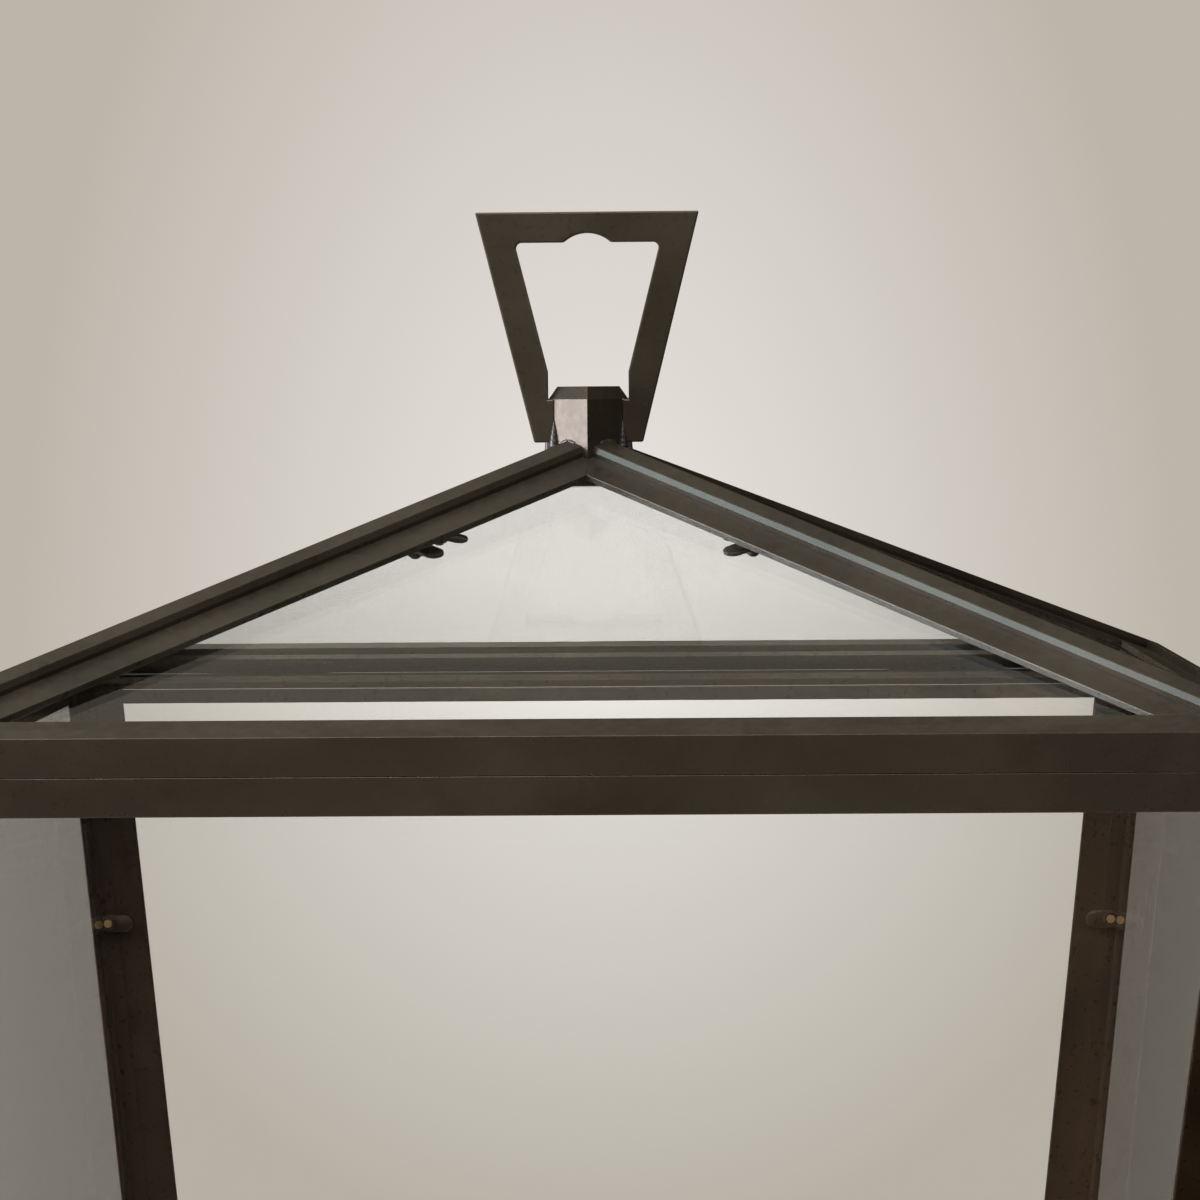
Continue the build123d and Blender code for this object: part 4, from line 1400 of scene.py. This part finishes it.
@dataclass
class Studio:
    """Camera, floor, lights and surroundings."""

    eye: Place = (0.0362, -1.189, 0.600245)
    right: Place = (0.99959, 0.02769, -0.0083)
    upward: Place = (0.00693, 0.04906, 0.99878)
    forward: Place = (-0.02806, 0.99842, -0.04885)
    lens: float = 126.75
    sensor: float = 36.0
    floor_radius: float = 0.55
    floor_profile: Profile = ((0.01, 0.0), (0.003, 0.001), (0.0, 0.004), (0.0, 0.02))
    wall_bright: Colour = (0.80, 0.77, 0.725)
    wall_dim: Colour = (0.505, 0.465, 0.405)
    wall_centre: tuple[float, float] = (-0.028, -0.06)
    wall_reach: Place = (0.135, 0.24, -0.14)
    wall_gain: float = 1.12
    roof_gain: Colour = (0.44, 0.435, 0.41)
    roof_centre: Place = (0.02, -1.0, 0.03)
    roof_stretch: Place = (-1.0, -1.0, -2.4)
    roof_reach: tuple[float, float] = (0.08, 0.19)
    room_bright: Colour = (0.38, 0.35, 0.28)
    room_dim: Colour = (0.030, 0.022, 0.013)
    room_dark: Colour = (0.0, 0.0, 0.0)
    room_high: Place = (-0.5, 0.2, 0.84)

    def build(self) -> None:
        """Add all of it."""
        self.build_camera()
        self.build_floor()
        for panel in Panel:
            self.build_panel(panel)
        self.build_world()
        bpy.context.scene.view_settings.view_transform = "Standard"
        LOG.info("built the studio")

    def build_camera(self) -> None:
        """Add the camera at the photograph's viewing angle."""
        data = bpy.data.cameras.new("view_camera")
        data.lens = self.lens
        data.sensor_width = self.sensor
        data.sensor_fit = "HORIZONTAL"
        data.clip_start = 0.01
        camera = bpy.data.objects.new("view_camera", data)
        turn = Matrix((Vector(self.right), Vector(self.upward), -Vector(self.forward))).transposed()
        camera.matrix_world = Matrix.Translation(self.eye) @ turn.to_4x4()
        bpy.context.scene.collection.objects.link(camera)
        bpy.context.scene.camera = camera

    def build_floor(self) -> None:
        """Add the round pale floor with a rolled rim."""
        mesh = bmesh.new()
        rim, middle = self.floor_radius, 1 * MM
        rolled = [(rim - inset, -drop) for inset, drop in self.floor_profile]
        under = rolled[-1][1]
        turned(mesh, [(middle, 0.0), (rim / 2, 0.0), *rolled, (middle, under)], Matrix(), steps=160)
        floor = add_piece("studio_floor", mesh, PalePaper())
        split_edges(floor)

    @staticmethod
    def build_panel(panel: Panel) -> None:
        """Add one panel of light, which the camera doesn't see.

        Args:
            panel: The panel.
        """
        place, aim, width, height, power, colour = panel.value
        away = Vector(place) - Vector(aim)
        data = bpy.data.lights.new(panel.name.lower() + "_light", "AREA")
        data.shape = "RECTANGLE"
        data.size, data.size_y = width, height
        data.energy = power
        data.color = colour
        light = bpy.data.objects.new(data.name, data)
        light.matrix_world = frame_on(Vector(place), away, Vector((0, 0, 1)).cross(away))
        light.visible_camera = False
        light.visible_transmission = False
        bpy.context.scene.collection.objects.link(light)

    def build_world(self) -> None:
        """Make the surroundings: pale behind the lantern, dim where its metal looks into the room."""
        world = bpy.data.worlds.new("room")
        bpy.context.scene.world = world
        world.use_nodes = True
        world.node_tree.nodes.clear()
        nodes = Nodes(world.node_tree)
        way = nodes.add("ShaderNodeTexCoord").outputs["Generated"]
        axes = nodes.add("ShaderNodeSeparateXYZ", {0: way})
        wall = self.add_wall(nodes, axes)
        high = nodes.add("ShaderNodeVectorMath", {0: way, 1: self.room_high}, operation="DOT_PRODUCT")
        share = nodes.ramp(high.outputs["Value"], 0.4, 0.95)
        low = nodes.ramp(axes.outputs["Z"], -0.32, -0.05, 0.12, 1.0)
        room = nodes.mix(low, self.room_dark, nodes.mix(share, self.room_dim, self.room_bright))
        for glow in Glow:
            room = self.add_glow(nodes, way, room, glow)
        path = nodes.add("ShaderNodeLightPath")
        through = nodes.math("MULTIPLY", path.outputs["Is Transmission Ray"],
                             nodes.math("LESS_THAN", path.outputs["Glossy Depth"], 0.5))
        seen = nodes.math("MAXIMUM", path.outputs["Is Camera Ray"], through)
        lit = self.add_roof_gain(nodes, way, wall, through)
        gain = nodes.ramp(through, 0, 1, 1.0, self.wall_gain)
        shade = nodes.add("ShaderNodeBackground", {"Color": nodes.mix(seen, room, lit), "Strength": gain})
        nodes.add("ShaderNodeOutputWorld", {"Surface": shade.outputs[0]})

    def add_wall(self, nodes: Nodes, axes: bpy.types.Node) -> bpy.types.NodeSocket:
        """Make the pale wall, brightest behind the roof and dimmer further out.

        Args:
            nodes: The world's tree.
            axes: Node that splits the direction looked in.

        Returns:
            The socket of the wall's colour.
        """
        centre_x, centre_z = self.wall_centre
        wide, tall, deep = self.wall_reach
        across = nodes.math("DIVIDE", nodes.math("ADD", axes.outputs["X"], -centre_x), wide)
        level = nodes.math("ADD", axes.outputs["Z"], -centre_z)
        rise = nodes.math("MAXIMUM", nodes.math("DIVIDE", level, tall), nodes.math("DIVIDE", level, deep))
        spread = nodes.math("ADD", nodes.math("POWER", across, 2.0), nodes.math("POWER", rise, 2.0))
        return nodes.mix(nodes.ramp(nodes.math("SQRT", spread), 0.1, 1.0), self.wall_bright, self.wall_dim)

    def add_roof_gain(self, nodes: Nodes, way: bpy.types.NodeSocket, wall: bpy.types.NodeSocket,
                      through: bpy.types.NodeSocket) -> bpy.types.NodeSocket:
        """Brighten the wall where it is seen through the roof's panes.

        Args:
            nodes: The world's tree.
            way: Socket of the direction looked in.
            wall: Socket of the wall's colour.
            through: Socket of the share that has come through glass.

        Returns:
            The socket of the brightened colour.
        """
        flat = nodes.add("ShaderNodeVectorMath", {0: way, 1: self.roof_stretch}, operation="MULTIPLY")
        ends = {0: flat.outputs[0], 1: self.roof_centre}
        gap = nodes.add("ShaderNodeVectorMath", ends, operation="DISTANCE").outputs["Value"]
        patch = nodes.math("MULTIPLY", nodes.ramp(gap, *self.roof_reach, 1.0, 0.0), through)
        inputs = {0: patch, 6: wall, 7: solid(self.roof_gain)}
        return nodes.add("ShaderNodeMix", inputs, data_type="RGBA", blend_type="ADD").outputs[2]

    def add_glow(self, nodes: Nodes, way: bpy.types.NodeSocket, room: bpy.types.NodeSocket,
                 glow: Glow) -> bpy.types.NodeSocket:
        """Add a soft patch of brightness to the room.

        Args:
            nodes: The world's tree.
            way: Socket of the direction looked in.
            room: Socket of the room's colour so far.
            glow: The patch.

        Returns:
            The socket of the room's colour with the patch.
        """
        centre, width, colour = glow.value
        ends = {0: way, 1: Vector(centre).normalized()}
        gap = nodes.add("ShaderNodeVectorMath", ends, operation="DISTANCE").outputs["Value"]
        share = nodes.math("POWER", nodes.ramp(gap, 0.0, width, 1.0, 0.0), 1.5)
        patch = nodes.mix(share, self.room_dark, colour)
        inputs = {0: 1.0, 6: room, 7: patch}
        return nodes.add("ShaderNodeMix", inputs, data_type="RGBA", blend_type="ADD").outputs[2]


def clear_defaults() -> None:
    """Remove what a new file holds besides the frame."""
    ours = set(frame["nodes"].values()) | set(frame["bodies"].values())
    for thing in list(bpy.data.objects):
        if thing not in ours:
            bpy.data.objects.remove(thing)


def main() -> None:
    """Build and dress the lantern, then the studio."""
    logging.basicConfig(level=logging.INFO, format="%(name)s: %(message)s")
    clear_defaults()
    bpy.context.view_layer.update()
    FrameDress().dress()
    TurnClips().build()
    HipChamfers().build()
    Welds().build()
    FitterNuts().build()
    BulbInside().build()
    Studio().build()


if __name__ == "__main__":
    main()
